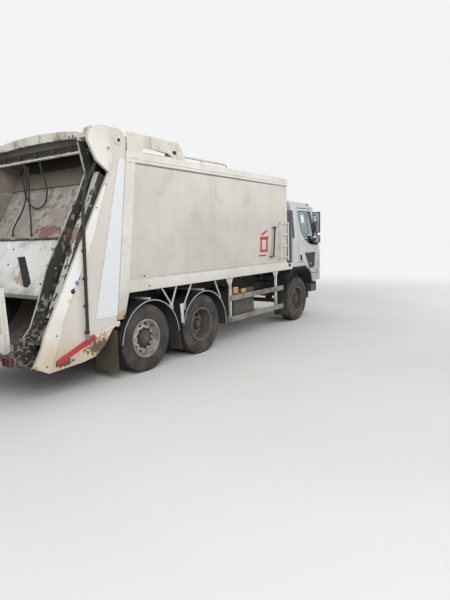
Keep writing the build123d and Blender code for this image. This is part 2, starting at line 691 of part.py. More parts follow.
def make_tailgate_sides():
    """Double side walls with the recess between them that holds the packer cylinder."""
    # Rear and lower edges of each wall: ahead of the tag axle, height
    outer_edge = [
        (-745, 3553), (-918, 3477), (-959, 3357), (-962, 3319), (-831, 3082), (-632, 2946),
        (-1802, 874), (-1856, 723), (-1983, 516), (-1770, 401), (-1228, 430), (-1022, 466),
        (-854, 586), (-713, 773),
    ]
    inner_edge = [
        (-745, 3455), (-940, 3450), (-950, 3320), (-905, 3110), (-859, 2947), (-939, 2769),
        (-1036, 2567), (-1164, 2367), (-1309, 2108), (-1447, 1893), (-1568, 1671), (-1660, 1426),
        (-1715, 1280), (-1852, 973), (-1957, 866), (-2105, 815), (-2105, 660), (-1960, 480), (-1720, 425), (-1228, 430), (-1022, 466), (-854, 586),
        (-713, 773),
    ]
    slot_top = 885
    slot_foot = slot_top + CARRIAGE_STROKE + 160
    strip = [(60, -100), (500, -50), (1000, -45), (1200, 0), (1750, 45), (2120, 70)]
    wall_y = -INNER_WALL_Y - INNER_WALL
    depth = TAIL_OUTER - TAIL_PLATE - INNER_WALL_Y - INNER_WALL
    with BuildPart() as sides:
        tail_side(outer_edge, -TAIL_OUTER + TAIL_PLATE, TAIL_PLATE - PANEL_STEP)
        tail_side(inner_edge, -INNER_WALL_Y, INNER_WALL)
        # Raised band along the rear edge
        plate([(TAG_X + x, z) for x, z in [
            (-632, 2946), (-831, 3082), (-962, 3319), (-959, 3357), (-918, 3477), (-745, 3553),
            (-600, 3540), (-567, 3112), (-975, 2033), (-1513, 1039), (-1592, 797), (-1700, 540),
            (-1770, 401), (-1983, 516), (-1856, 723), (-1802, 874),
        ]], -TAIL_OUTER + PANEL_STEP, PANEL_STEP)
        # Raised front margin along the seam
        plate([(TAG_X + x, z) for x, z in [(-435, 3154), (-1000, 960)]] + [
            (seam_x(960) - MOVING_GAP, 960), (seam_x(3154) - MOVING_GAP, 3154),
        ], -TAIL_OUTER + PANEL_STEP, PANEL_STEP / 2)
        # Ledge across the foot of the panel
        plate([(TAG_X + x, z) for x, z in [
            (-575, 880), (-575, 850), (-985, 722), (-1588, 458), (-1575, 500), (-985, 760),
        ]], -TAIL_OUTER + PANEL_STEP, PANEL_STEP)
        # Guide rails on the inner face, each side of the carriage
        for near in (GUIDE_RAIL_IN, CARRIAGE_OUT + 8):
            plate([guide(30, near), guide(30, near + 24), guide(1850, near + 24), guide(1850, near)],
                  -INNER_WALL_Y + GUIDE_RAIL, GUIDE_RAIL)
        # Channel behind the outer wall: its cheek, and the strip that faces rearward
        plate([guide(*spot) for spot in strip] + [guide(2120, 110), guide(1750, 85), guide(1200, 40), guide(60, 40)],
              -TAIL_OUTER + TAIL_PLATE + 10, 10)
        plate([guide(*spot) for spot in strip] + [guide(along, inward + 10) for along, inward in reversed(strip)],
              -TAIL_OUTER + TAIL_PLATE + 110, 110)
        # Web that closes the front of the recess and comes out to the lip at its foot
        plate([
            guide(-60, RECESS_DEPTH), guide(-60, RECESS_DEPTH + 25),
            guide(1900, RECESS_DEPTH + 25), (TAG_X - 1770, 760), (TAG_X - 1925, 790),
            (TAG_X - 1945, 815), (TAG_X - 1780, 800), guide(1890, RECESS_DEPTH),
        ], wall_y, depth)
        # Seam flange and bottom strip between the two walls
        plate([
            (seam_x(1250) - 50, 1250), (seam_x(3000) - 50, 3000),
            (seam_x(3000) - MOVING_GAP, 3000), (seam_x(1250) - MOVING_GAP, 1250),
        ], wall_y, depth)
        plate([
            (TAG_X - 1770, 401), (TAG_X - 2187, 578), (TAG_X - 2187, 690), (TAG_X - 2165, 690),
            (TAG_X - 2165, 600), (TAG_X - 1765, 430), (TAG_X - 1228, 458), (TAG_X - 1228, 430),
        ], wall_y, depth)
        # Top plate that carries the lug of the lift rod
        block((TAG_X - 935, TAG_X - 640), (wall_y - depth, wall_y), (3380, 3405))
        for y in (-LIFT_Y + 45, -LIFT_Y - 31):
            plate([
                (LIFT_REAR_X - 90, 3405), (LIFT_REAR_X - 48, LIFT_REAR_Z + 20),
                (LIFT_REAR_X, LIFT_REAR_Z + 50), (LIFT_REAR_X + 48, LIFT_REAR_Z + 20),
                (LIFT_REAR_X + 90, 3405),
            ], y, 14)
        # The pin stops short of the rod's eye, whose path is a little off a true circle
        for y in (-LIFT_Y + 57, -LIFT_Y - 31):
            disc(LIFT_REAR_X, LIFT_REAR_Z, LIFT_PIN, y, 26)
        disc(TAG_X - 627, 3263, 34, -TAIL_OUTER + PANEL_STEP, PANEL_STEP + 4)
        disc(HINGE_X, HINGE_Z, 62, -TAIL_OUTER + PANEL_STEP, PANEL_STEP)
        disc(HINGE_X, HINGE_Z, HINGE_PIN + RUNNING, -TAIL_OUTER + TAIL_PLATE + 20, 100, mode=Mode.SUBTRACT)
        # Slot for the carriage's arm
        plate([
            guide(slot_top, 65), guide(slot_top, 165), guide(slot_foot, 165), guide(slot_foot, 65),
        ], -INNER_WALL_Y + 20, 90, mode=Mode.SUBTRACT)
        mirror(about=Plane.XZ)
    keep(sides, "tailgate_sides")


def make_tailgate_top():
    """Arched rear cross beam with its lower apron, and the cover plate behind the hinge."""
    rear = TAG_X - 950
    half = INNER_WALL_Y
    with BuildPart() as top:
        with BuildSketch(crosswise(rear)) as face:
            with BuildLine():
                ThreePointArc((half, 3362), (0, 3405), (-half, 3362))
                Line((-half, 3362), (-half, 3462))
                ThreePointArc((-half, 3462), (0, 3528), (half, 3462))
                Line((half, 3462), (half, 3362))
            make_face()
        extrude(face.sketch, amount=140)
        block((rear + 90, rear + 125), (-half, half), (3200, 3420))
        block((rear + 60, rear + 125), (-half, half), (3200, 3220))
        block((rear + 120, HINGE_X + 150), (-half, half), (3360, 3400))
        # Fixed wall behind the carriage's top edge, down from the cover plate
        plate([guide(-505, 30), guide(-505, 45), guide(110, 45), guide(110, 30)],
              half - GUIDE_RAIL, 2 * (half - GUIDE_RAIL))
    keep(top, "tailgate_top")


def make_hopper_floor():
    """Curved trough from the loading lip, under the packer, up to the body's floor."""
    thick = 25
    end = seam_x(FLOOR_TOP) - MOVING_GAP
    under = seam_x(1290) - MOVING_GAP
    with BuildPart() as trough:
        with BuildSketch(upright(INNER_WALL_Y)) as face:
            with BuildLine():
                Polyline((TAG_X - 2105, LIP_Z), (TAG_X - 2065, LIP_Z), (TAG_X - 2050, 700))
                ThreePointArc((TAG_X - 2050, 700), (TAG_X - 1930, 520), (TAG_X - 1720, 455))
                Line((TAG_X - 1720, 455), (TAG_X - 1300, 470))
                ThreePointArc((TAG_X - 1300, 470), (TAG_X - 860, 740), (end, FLOOR_TOP))
                Line((end, FLOOR_TOP), (under, 1290))
                ThreePointArc((under, 1290), (TAG_X - 840, 715), (TAG_X - 1300, 470 - thick))
                Line((TAG_X - 1300, 470 - thick), (TAG_X - 1720, 455 - thick))
                ThreePointArc((TAG_X - 1720, 455 - thick), (TAG_X - 1948, 503), (TAG_X - 2105, 690))
                Line((TAG_X - 2105, 690), (TAG_X - 2105, LIP_Z))
            make_face()
        extrude(face.sketch, amount=2 * INNER_WALL_Y)
    keep(trough, "hopper_floor")


def make_carriage():
    """Sliding plate of the packer, with arms through the side walls and the blade's hinge pins."""
    width = INNER_WALL_Y - 8
    hinge = guide(1035, 130)
    with BuildPart() as carriage:
        plate([guide(60, CARRIAGE_IN), guide(60, CARRIAGE_OUT), guide(955, CARRIAGE_OUT), guide(955, CARRIAGE_IN)],
              width, 2 * width)
        for low in (-width, width - 60):
            plate([guide(900, 75), guide(900, 190), guide(1095, 175), guide(1095, 80)], low + 60, 60)
        disc(*hinge, BLADE_PIN, width, 2 * width)
        # Unions of the two hoses
        for y in (-80, 385):
            block((TAG_X - 1125, TAG_X - 1060), (y - 25, y + 25), (2066, 2110))
        for side in (-1, 1):
            near = side * (width - 20)
            far = side * (PACKER_Y + 40)
            plate([guide(920, 80), guide(920, 150), guide(1010, 150), guide(1010, 80)],
                  max(near, far), abs(far - near))
    keep(carriage, "carriage")


def make_packer_cylinders():
    """Barrel and rod in each recess, along the packer guide."""
    with BuildPart() as barrels:
        start = guide(0, 115)
        end = guide(830, 115)
        bar((start[0], -PACKER_Y, start[1]), (end[0], -PACKER_Y, end[1]), PACKER_BARREL)
        mouth = guide(840, 115)
        blind = guide(50, 115)
        bar((blind[0], -PACKER_Y, blind[1]), (mouth[0], -PACKER_Y, mouth[1]), PACKER_ROD + RUNNING,
            mode=Mode.SUBTRACT)
        # Mounting foot against the web
        plate([guide(20, 150), guide(20, RECESS_DEPTH), guide(120, RECESS_DEPTH), guide(120, 150)],
              -PACKER_Y + 30, 60)
        mirror(about=Plane.XZ)
    keep(barrels, "packer_barrels")
    with BuildPart() as rods:
        inside = guide(75, 115)
        outside = guide(920, 115)
        bar((inside[0], -PACKER_Y, inside[1]), (outside[0], -PACKER_Y, outside[1]), PACKER_ROD)
        mirror(about=Plane.XZ)
    keep(rods, "packer_rods")


def make_packer_blade():
    """Swinging blade: a tapered box with a slanted slot in its rear face."""
    hinge = guide(1035, 130)
    tip = (TAG_X - 1420, 1250)
    width = INNER_WALL_Y - 80
    with BuildPart() as slot:
        beam([(147, 1807), (-42, 1821), (-397, 1467), (-350, 1400), (-245, 1408)], tip[0] - 300, 700)
        plate([
            (hinge[0] - 262, hinge[1] + 10), (hinge[0] - 12, hinge[1] + 10), (tip[0] + 30, tip[1] + 60),
            (tip[0] - 220, tip[1] + 60),
        ], 500, 1000, mode=Mode.INTERSECT)
    with BuildPart() as blade:
        plate([
            (hinge[0] - 62, hinge[1] + 10), (hinge[0] + 58, hinge[1] - 20), (tip[0] + 110, tip[1] + 60),
            (tip[0] + 60, tip[1]), (tip[0], tip[1]), (tip[0] - 30, tip[1] + 60),
        ], width, 2 * width)
        disc(*hinge, 62, width, 2 * width)
        disc(*hinge, BLADE_PIN + RUNNING, width + 10, 2 * width + 20, mode=Mode.SUBTRACT)
        add(slot.part, mode=Mode.SUBTRACT)
    keep(blade, "packer_blade")


def make_bin_lift():
    """White posts and rotary cross tube behind the lip, and the comb carrier that swings up."""
    axis_x = TAG_X - BIN_AXIS_BEHIND
    axis_z = BIN_AXIS_Z
    with BuildPart() as frame:
        disc(axis_x, axis_z, BIN_TUBE, 960, 1920)
        for side in (-1, 1):
            y = side * 960
            plate([
                (TAG_X - 2105 - SEAT, 700), (TAG_X - 2190, 700), (axis_x - 20, axis_z - 72),
                (axis_x - 75, axis_z), (axis_x - 20, axis_z + 72), (TAG_X - 2192, 960),
                (TAG_X - 2208, 1500), (TAG_X - 2130, 1500), (TAG_X - 2105 - SEAT, 900),
            ], y + 30, 60)
    keep(frame, "bin_lift_frame")
    with BuildPart() as comb:
        for side in (-1, 1):
            y = side * 800
            plate([
                (axis_x + 20, axis_z + 75), (axis_x - 75, axis_z + 90), (TAG_X - 2400, 1240),
                (TAG_X - 2440, 1240), (TAG_X - 2440, 500), (TAG_X - 2400, 500),
                (axis_x - 40, axis_z - 80), (axis_x + 60, axis_z - 50),
            ], y + 25, 50)
            disc(axis_x, axis_z, BIN_TUBE + 30, y + 25, 50)
        disc(axis_x, axis_z, BIN_TUBE + SEAT, 900, 1800, mode=Mode.SUBTRACT)
        block((TAG_X - 2440, TAG_X - 2400), (-900, 900), (1120, 1240))
        block((TAG_X - 2440, TAG_X - 2400), (-900, 900), (500, 620))
        for y in (-400, 0, 400):
            block((TAG_X - 2440, TAG_X - 2400), (y - 40, y + 40), (620, 1120))
        teeth = 12
        for index in range(teeth):
            y = -850 + index * 1700 / (teeth - 1)
            plate([
                (TAG_X - 2440, 1130), (TAG_X - REAR_OVERHANG, 1180), (TAG_X - REAR_OVERHANG, 1225),
                (TAG_X - 2440, 1235),
            ], y + 15, 30)
    keep(comb, "bin_lift_comb")


def make_tailgate_pipes():
    """Hydraulic hose out of each recess and down the outside of the wall, on stand-off clips."""
    skin = -TAIL_OUTER - PIPE_OFF
    hidden = -TAIL_OUTER + 85
    # ahead of the tag axle, width, height
    path = [
        (-760, hidden, 3100), (-970, hidden, 2790), (-1045, hidden - 10, 2540), (-1110, hidden - 75, 2300),
        (-1145, skin, 2080), (-1177, skin, 790),
    ]
    with BuildPart() as pipes:
        run = hose([(TAG_X + x, y, z) for x, y, z in path], PIPE_RADIUS)
        for share in (0.54, 0.69, 0.84, 0.985):
            spot = run @ share
            block((spot.X - 30, spot.X + 30), (skin - 5, -TAIL_OUTER - SEAT / 2), (spot.Z - 14, spot.Z + 14))
        block((TAG_X - 790, TAG_X - 730), (-TAIL_OUTER + TAIL_PLATE, hidden + 30), (3075, 3130))
        mirror(about=Plane.XZ)
        # Loop that hangs below the top beam
        top = 3200 - SEAT / 2
        hose([(TAG_X - 870, y, z) for y, z in [
            (310, top), (310, 3100), (378, 2940), (350, 2720), (200, 2530), (0, 2510), (-150, 2590),
            (-200, 2760), (-150, 2940), (-75, 3090), (-75, top),
        ]], HOSE_RADIUS)
    keep(pipes, "tailgate_pipes")


def make_feed_hoses():
    """The two hoses that rise from the carriage."""
    foot = 2110 + SEAT / 2
    with BuildPart() as feeds:
        # ahead of the tag axle, width, height
        for path in (
            [(-1100, -80, foot), (-1100, -80, 2200), (-1070, -45, 2310), (-1020, 30, 2440),
             (-960, 130, 2600), (-905, 190, 2850), (-890, 195, 3130)],
            [(-1100, 385, foot), (-1100, 385, 2195), (-1078, 335, 2290), (-1030, 255, 2430),
             (-965, 215, 2600), (-910, 235, 2850), (-893, 238, 3130)],
        ):
            hose([(TAG_X + x, y, z) for x, y, z in path], HOSE_RADIUS)
    keep(feeds, "feed_hoses")


def make_tail_lamps():
    """A lamp cluster on the upright end of each bottom strip."""
    with BuildPart() as lamps:
        block((TAG_X - 2235, TAG_X - 2187 - SEAT), (-1190, -1020), (585, 685))
        block((TAG_X - 2241, TAG_X - 2235), (-1182, -1110), (592, 678))
        block((TAG_X - 2239, TAG_X - 2235), (-1100, -1028), (592, 678))
        mirror(about=Plane.XZ)
    keep(lamps, "tail_lamps")


def cab_solid(inset):
    """The cab's outer form, drawn in by an even wall thickness."""
    side_view = [
        (CAB_REAR_X, CAB_FLOOR_Z), (CAB_REAR_X, CAB_ROOF_Z - 90), (CAB_REAR_X + 90, CAB_ROOF_Z),
        (FRONT_X + 720, CAB_ROOF_Z - 20), (FRONT_X + 870, CAB_ROOF_Z - 120),
        (FRONT_X + 1150, 1920), (CAB_FRONT_X, 1600), (CAB_FRONT_X, 900), (FRONT_X + 740, 900),
        (FRONT_X + 672, 1092), (FRONT_X + 556, 1195), (FRONT_X + 330, CAB_FLOOR_Z),
    ]
    front_view = [
        (-CAB_HALF, 700), (-CAB_HALF, 1950), (-CAB_HALF + 65, CAB_ROOF_Z - 130),
        (-CAB_HALF + 160, CAB_ROOF_Z), (CAB_HALF - 160, CAB_ROOF_Z),
        (CAB_HALF - 65, CAB_ROOF_Z - 130), (CAB_HALF, 1950), (CAB_HALF, 700),
    ]
    with BuildPart() as form:
        with BuildSketch(upright(CAB_HALF + 50)) as side:
            with BuildLine():
                Polyline(*side_view, close=True)
            make_face()
            if inset:
                offset(amount=-inset, kind=Kind.INTERSECTION, mode=Mode.REPLACE)
        extrude(side.sketch, amount=2 * CAB_HALF + 100)
        with BuildSketch(crosswise(CAB_REAR_X - 50)) as front:
            with BuildLine():
                Polyline(*front_view, close=True)
            make_face()
            if inset:
                offset(amount=-inset, kind=Kind.INTERSECTION, mode=Mode.REPLACE)
        extrude(front.sketch, amount=CAB_FRONT_X - CAB_REAR_X + 100, mode=Mode.INTERSECT)
    return form.part


def ahead(points):
    """Points given ahead of the front axle, in the truck's own lengths."""
    return [(FRONT_X + x, z) for x, z in points]


def prism(outline, y, thick, grow=0):
    """A side-view outline as a solid through one side of the cab."""
    with BuildPart() as solid:
        with BuildSketch(upright(y)) as face:
            with BuildLine():
                Polyline(*outline, close=True)
            make_face()
            if grow:
                offset(amount=grow, kind=Kind.INTERSECTION, mode=Mode.REPLACE)
        extrude(face.sketch, amount=thick)
    return solid.part


def screen_prism(grow=0):
    """The windscreen's outline as a solid through the front of the cab."""
    with BuildPart() as solid:
        with BuildSketch(crosswise(FRONT_X + 800)) as face:
            with BuildLine():
                Polyline(
                    (-CAB_HALF + 120, 2000), (CAB_HALF - 120, 2000), (CAB_HALF - 180, 2640),
                    (-CAB_HALF + 180, 2640), close=True,
                )
            make_face()
            if grow:
                offset(amount=grow, kind=Kind.INTERSECTION, mode=Mode.REPLACE)
        extrude(face.sketch, amount=500)
    return solid.part


def make_cab():
    """Hollow cab split at its doors, with its windows cut."""
    # outlines ahead of the front axle, height
    door = ahead([
        (-40, 1390), (-40, 2680), (700, 2680), (860, 2300), (990, 1850), (1050, 1400), (1050, 1080),
        (690, 1080), (560, 1205), (470, 1205), (300, 1330), (250, 1390),
    ])
    window = ahead([
        (30, 2600), (680, 2600), (800, 2300), (885, 1960), (885, 1815), (760, 1796), (530, 1838),
        (305, 1940), (140, 2110), (62, 2390),
    ])
    low_window = ahead([(325, 1600), (900, 1600), (870, 1280), (765, 1225), (556, 1240)])
    hinge_heights = (1120, 1310)
    outer = cab_solid(0)
    inner = cab_solid(CAB_WALL)
    pane = cab_solid(24) - cab_solid(30)
    with BuildPart() as floor:
        block((CAB_REAR_X, CAB_FRONT_X), (-CAB_HALF, CAB_HALF), (CAB_FLOOR_Z, CAB_FLOOR_Z + CAB_WALL))
    with BuildPart() as under:
        block((FRONT_X + 200, CAB_FRONT_X - CAB_WALL), (-CAB_HALF + CAB_WALL, CAB_HALF - CAB_WALL),
              (850, CAB_FLOOR_Z))
    walls = outer - inner - under.part
    skin = (outer - inner + (outer & floor.part)) - under.part
    side_y = -CAB_HALF + 140
    doorway = prism(door, side_y, 200) - inner
    with BuildPart() as shell:
        add(skin)
        add(doorway, mode=Mode.SUBTRACT)
        add(mirror(doorway, about=Plane.XZ), mode=Mode.SUBTRACT)
        add(screen_prism(), mode=Mode.SUBTRACT)
        # Grille slots in the front panel, and the rear window
        for z in (1080, 1180, 1280, 1470):
            block((CAB_FRONT_X - 30, CAB_FRONT_X + 1), (-720, 720), (z - 28, z + 28), mode=Mode.SUBTRACT)
        block((CAB_REAR_X - 1, CAB_REAR_X + CAB_WALL + 1), (-480, 480), (2000, 2480), mode=Mode.SUBTRACT)
        # Arms down to the tilt pivot
        for side in (-1, 1):
            low = side * 447 - 18
            plate([
                (FRONT_X + 1080, CAB_FLOOR_Z), (CAB_FRONT_X - CAB_WALL, CAB_FLOOR_Z),
                (CAB_FRONT_X - CAB_WALL, 900), (CAB_PIVOT_X + 40, CAB_PIVOT_Z),
                (CAB_PIVOT_X, CAB_PIVOT_Z - 40), (CAB_PIVOT_X - 50, CAB_PIVOT_Z - 20),
            ], low + 36, 36)
        disc(CAB_PIVOT_X, CAB_PIVOT_Z, 20 + RUNNING, 500, 1000, mode=Mode.SUBTRACT)
        # Fixed half of each door hinge, with its pin
        for side in (-1, 1):
            for z in hinge_heights:
                axis = (DOOR_HINGE_X, side * DOOR_HINGE_Y)
                block((DOOR_HINGE_X, DOOR_HINGE_X + 45),
                      (side * (CAB_HALF + 3) - 4, side * (CAB_HALF + 3) + 4), (z, z + 34))
                bar((*axis, z), (*axis, z + 34), 10)
                bar((*axis, z), (*axis, z + 70), 5)
    keep(shell, "cab_shell")
    with BuildPart() as leaf:
        add(walls)
        add(prism(door, side_y, 200, -DOOR_GAP), mode=Mode.INTERSECT)
        add(prism(window, side_y, 200), mode=Mode.SUBTRACT)
        add(prism(low_window, side_y, 200), mode=Mode.SUBTRACT)
        # Moving half of each hinge
        for z in hinge_heights:
            block((DOOR_HINGE_X - 50, DOOR_HINGE_X - 4), (-CAB_HALF - 7, -CAB_HALF + 1), (z + 36, z + 70))
            bar((DOOR_HINGE_X, -DOOR_HINGE_Y, z + 36), (DOOR_HINGE_X, -DOOR_HINGE_Y, z + 70), 10)
            bar((DOOR_HINGE_X, -DOOR_HINGE_Y, z + 30), (DOOR_HINGE_X, -DOOR_HINGE_Y, z + 80), 5 + RUNNING,
                mode=Mode.SUBTRACT)
    keep_both(leaf, "door")
    with BuildPart() as glass:
        add(pane)
        add(prism(window, side_y, 200, -SEAT) + prism(low_window, side_y, 200, -SEAT), mode=Mode.INTERSECT)
    keep_both(glass, "door_glass")
    with BuildPart() as screen:
        add(pane)
        add(screen_prism(-SEAT), mode=Mode.INTERSECT)
        block((CAB_REAR_X + 24, CAB_REAR_X + 30), (-480 + SEAT, 480 - SEAT), (2000 + SEAT, 2480 - SEAT))
    keep(screen, "windscreen")


def make_cab_inside():
    """Dashboard with the steering wheel, and the two seats."""
    wall = CAB_FRONT_X - CAB_WALL
    floor = CAB_FLOOR_Z + CAB_WALL
    with BuildPart() as dash:
        plate([
            (wall, 1560), (wall, floor), (FRONT_X + 900, floor), (FRONT_X + 790, 1700),
            (FRONT_X + 830, 1850), (FRONT_X + 1030, 1880),
        ], CAB_HALF - 150, 2 * CAB_HALF - 300)
        bar((FRONT_X + 850, 520, 1700), (FRONT_X + 640, 520, 1830), 35)
        wheel_plane = Plane(origin=(FRONT_X + 640, 520, 1830), z_dir=(-210, 0, 130))
        with Locations(wheel_plane):
            Torus(220, 16)
            Box(420, 40, 24)
            Box(40, 420, 24)
    keep(dash, "dashboard")
    with BuildPart() as seats:
        for side in (-1, 1):
            y = side * 560
            block((FRONT_X - 60, FRONT_X + 250), (y - 160, y + 160), (floor, 1600))
            plate([
                (FRONT_X - 120, 1600), (FRONT_X + 380, 1600), (FRONT_X + 390, 1720),
                (FRONT_X - 20, 1700), (FRONT_X - 120, 2330), (FRONT_X - 220, 2330),
            ], y + 245, 490)
    keep(seats, "seats")


def make_mirrors():
    """Two mirror heads on an arm that stands on each door, ahead of its window."""
    x = FRONT_X + 750
    foot = FRONT_X + 905
    near = -CAB_HALF - 18
    far = near - 172
    stem = (near + far) / 2
    with BuildPart() as heads:
        block((x - 38, x + 38), (far, near), (2085, 2595))
        block((x - 38, x + 38), (far, near), (1845, 2030))
        block((x - 12, x + 12), (stem - 12, stem + 12), (1900, 2200))
        block((foot - 20, foot + 20), (-CAB_HALF - 60, -CAB_HALF - SEAT / 2), (1790, 1920))
        for low, high in ((1815, 1870), (1895, 2057)):
            bar((foot, -CAB_HALF - 45, low), (x, stem, high), 13)
    keep_both(heads, "mirror")


def make_bumper():
    """Bumper beam with rounded ends and lamp pockets, its narrower valance and the cab steps."""
    front = FRONT_X + FRONT_OVERHANG
    # the right half of the beam seen from above: back from the front face, width
    beam_half = [(0, 0), (0, 960), (-60, 1050), (-180, 1140), (-400, CAB_HALF), (-725, CAB_HALF), (-725, 1000),
                 (-420, 1000), (-230, 900), (-230, 560), (-120, 520), (-120, 0)]
    with BuildPart() as bumper:
        with BuildSketch(Plane.XY.offset(BUMPER_TOP - 210)) as face:
            with BuildLine():
                Polyline(*[(front + x, -y) for x, y in beam_half], close=True)
            make_face()
        extrude(face.sketch, amount=210)
        block((front - 110, front - 25), (-850, 0), (380, BUMPER_TOP - 210))
        block((front - 60, front + 1), (-940, -680), LAMP_Z, mode=Mode.SUBTRACT)
        # Cooling slot across the beam
        block((front - 60, front + 1), (-600, 0), (BUMPER_TOP - 130, BUMPER_TOP - 80), mode=Mode.SUBTRACT)
        # Bracket back to the frame
        block((FRAME_FRONT_X - 260, front - 110), (-RAIL_HALF, -RAIL_HALF + 60), (RAIL_BOTTOM - 90, RAIL_BOTTOM))
        # Tread recess of the step
        block((front - 700, front - 440), (-CAB_HALF - 10, -1060), (BUMPER_TOP - 30, BUMPER_TOP + 1), mode=Mode.SUBTRACT)
        mirror(about=Plane.XZ)
    keep(bumper, "front_bumper")
    with BuildPart() as lamps:
        block((front - 60, front - 6), (-940, -680), LAMP_Z)
        mirror(about=Plane.XZ)
    keep(lamps, "headlamps")


def arch(x, z, radius, thick, start, end, y, width):
    """Part of a round mudguard about an axle, between two angles from straight ahead."""
    with BuildSketch(upright(y)) as face:
        with BuildLine():
            CenterArc((x, z), radius, start, end - start)
            CenterArc((x, z), radius + thick, start, end - start)
            first = math.radians(start)
            last = math.radians(end)
            for angle in (first, last):
                Line(
                    (x + radius * math.cos(angle), z + radius * math.sin(angle)),
                    (x + (radius + thick) * math.cos(angle), z + (radius + thick) * math.sin(angle)),
                )
        make_face()
    extrude(face.sketch, amount=width)


def make_rear_mudguards():
    """Round mudguards over the bogie, each with a flap that hangs from its front end."""
    flap_x = GUARD_AHEAD + GUARD_RADIUS
    with BuildPart() as guards:
        # axle position, first and last angle of the arch
        for x, start, end in ((TAG_X, 4, 177), (DRIVE_X, -6, 170)):
            arch(x + GUARD_AHEAD, AXLE_Z - GUARD_DROP, GUARD_RADIUS, GUARD_THICK, start, end,
                 -GUARD_INNER, BODY_HALF - GUARD_INNER)
        plate([
            (TAG_X + flap_x - 4, 515), (TAG_X + flap_x + 7, 515), (TAG_X + flap_x + 55, 190),
            (TAG_X + flap_x + 44, 190),
        ], -GUARD_INNER - 20, BODY_HALF - GUARD_INNER - 20)
        # Rolled edge along the outer rim
        for x, start, end in ((TAG_X, 4, 177), (DRIVE_X, -6, 170)):
            arch(x + GUARD_AHEAD, AXLE_Z - GUARD_DROP, GUARD_RADIUS - 12, 12, start, end,
                 -BODY_HALF + 8, 8)
        mirror(about=Plane.XZ)
    keep(guards, "rear_mudguards")


def make_rear_flaps():
    """Hanging flap behind each tag wheel, on an arm from the frame's rear end."""
    rear = TAG_X - 650
    with BuildPart() as flaps:
        block((rear, FRAME_REAR_X + 60), (-RAIL_HALF - 20, -RAIL_HALF), (RAIL_BOTTOM + 5, RAIL_BOTTOM + 105))
        block((rear, rear + 18), (-RAIL_HALF - 20, -RAIL_HALF), (700, RAIL_BOTTOM + 105))
        block((rear, rear + 18), (-BODY_HALF + 45, -RAIL_HALF), (700, 755))
        block((rear + 18, rear + 26), (-BODY_HALF + 10, -750), (120, 755))
        mirror(about=Plane.XZ)
    keep(flaps, "rear_flaps")


def make_front_mudguards():
    """Deep mudguards over the steered wheels, with the apron behind them."""
    # ahead of the front axle, height: from the front end over the wheel and down behind it
    path = [
        (722, 850), (655, 1080), (545, 1177), (322, 1274), (-100, 1284), (-400, 1236), (-560, 1060),
        (-625, 800), (-612, 200),
    ]
    with BuildPart() as guards:
        with BuildSketch(upright(-885)) as face:
            with BuildLine():
                FilletPolyline(*[(FRONT_X + x, z) for x, z in path], radius=90)
                offset(amount=12, side=Side.LEFT)
            make_face()
        extrude(face.sketch, amount=355)
        block((FRONT_X - 590, FRONT_X - 530), (-890, -RAIL_HALF), (960, 1000))
        mirror(about=Plane.XZ)
    keep(guards, "front_mudguards")


def make_side_guards():
    """Two guard rails along each side between the axles."""
    with BuildPart() as guards:
        for low in (410, 820):
            block((TAG_X + 2290, FRONT_X - 820), (-BODY_HALF + 5, -BODY_HALF + 35), (low, low + 100))
        mirror(about=Plane.XZ)
    keep(guards, "side_guards")


def make_guard_struts():
    """Posts of the side guards, and the slanting struts and inner brackets of the mudguards."""
    # top of each strut and its knee, both ahead of the tag axle, knee height, guard it stands on
    struts = [
        (367, 569, 992, GUARD_AHEAD),
        (732, 610, 989, GUARD_AHEAD),
        (1125, 930, 955, BOGIE_SPACING + GUARD_AHEAD),
        (1795, 1960, 948, BOGIE_SPACING + GUARD_AHEAD),
    ]
    outer = GUARD_RADIUS + GUARD_THICK
    width = 22
    with BuildPart() as posts:
        for top, knee, knee_z, centre in struts:
            feet = [
                (TAG_X + x, AXLE_Z - GUARD_DROP + math.sqrt(outer ** 2 - (x - centre) ** 2) + 1)
                for x in (knee + width, knee)
            ]
            plate([
                (TAG_X + top, SILL_BOTTOM), (TAG_X + top + width, SILL_BOTTOM),
                (TAG_X + knee + width, knee_z), *feet, (TAG_X + knee, knee_z),
            ], -1190, 20)
        for centre in (TAG_X + GUARD_AHEAD, DRIVE_X + GUARD_AHEAD):
            top = AXLE_Z - GUARD_DROP + outer
            block((centre - 30, centre + 30), (-1200, -RAIL_HALF), (top + 0.1, top + 25))
        for x in (TAG_X + 2320, FRONT_X - 1090):
            block((x - 25, x + 25), (-BODY_HALF + 35, -BODY_HALF + 75), (410, SILL_BOTTOM))
            plate([(x - 25, 1100), (x - 130, SILL_BOTTOM), (x + 130, SILL_BOTTOM), (x + 25, 1100)],
                  -1180, 12)
        mirror(about=Plane.XZ)
    keep(posts, "guard_struts")


def make_tanks():
    """Fuel tank on the left, battery and air boxes on the right, bracketed to the rails."""
    with BuildPart() as tank:
        block((TAG_X + 2450, TAG_X + 3950), (560, 1150), (440, 1040))
        fillet(tank.edges().filter_by(Axis.X), 90)
        for x in (TAG_X + 2700, TAG_X + 3700):
            block((x - 30, x + 30), (RAIL_HALF, 620), (RAIL_BOTTOM + 40, RAIL_TOP - 60))
    keep(tank, "fuel_tank")
    with BuildPart() as box:
        block((TAG_X + 2500, TAG_X + 3250), (-1150, -600), (480, 1000))
        fillet(box.edges().filter_by(Axis.X), 20)
        for x in (TAG_X + 2650, TAG_X + 3100):
            block((x - 30, x + 30), (-610, -RAIL_HALF), (RAIL_BOTTOM + 40, RAIL_TOP - 60))
    keep(box, "battery_box")


def make_air_intake():
    """Tall intake duct between the body and the cab, on the sill's front end."""
    with BuildPart() as duct:
        block((BODY_FRONT_X + 30, SILL_FRONT_X - 30), (-BODY_HALF + 20, -SILL_INNER - 30), (SILL_TOP, 2600))
    keep(duct, "air_intake")


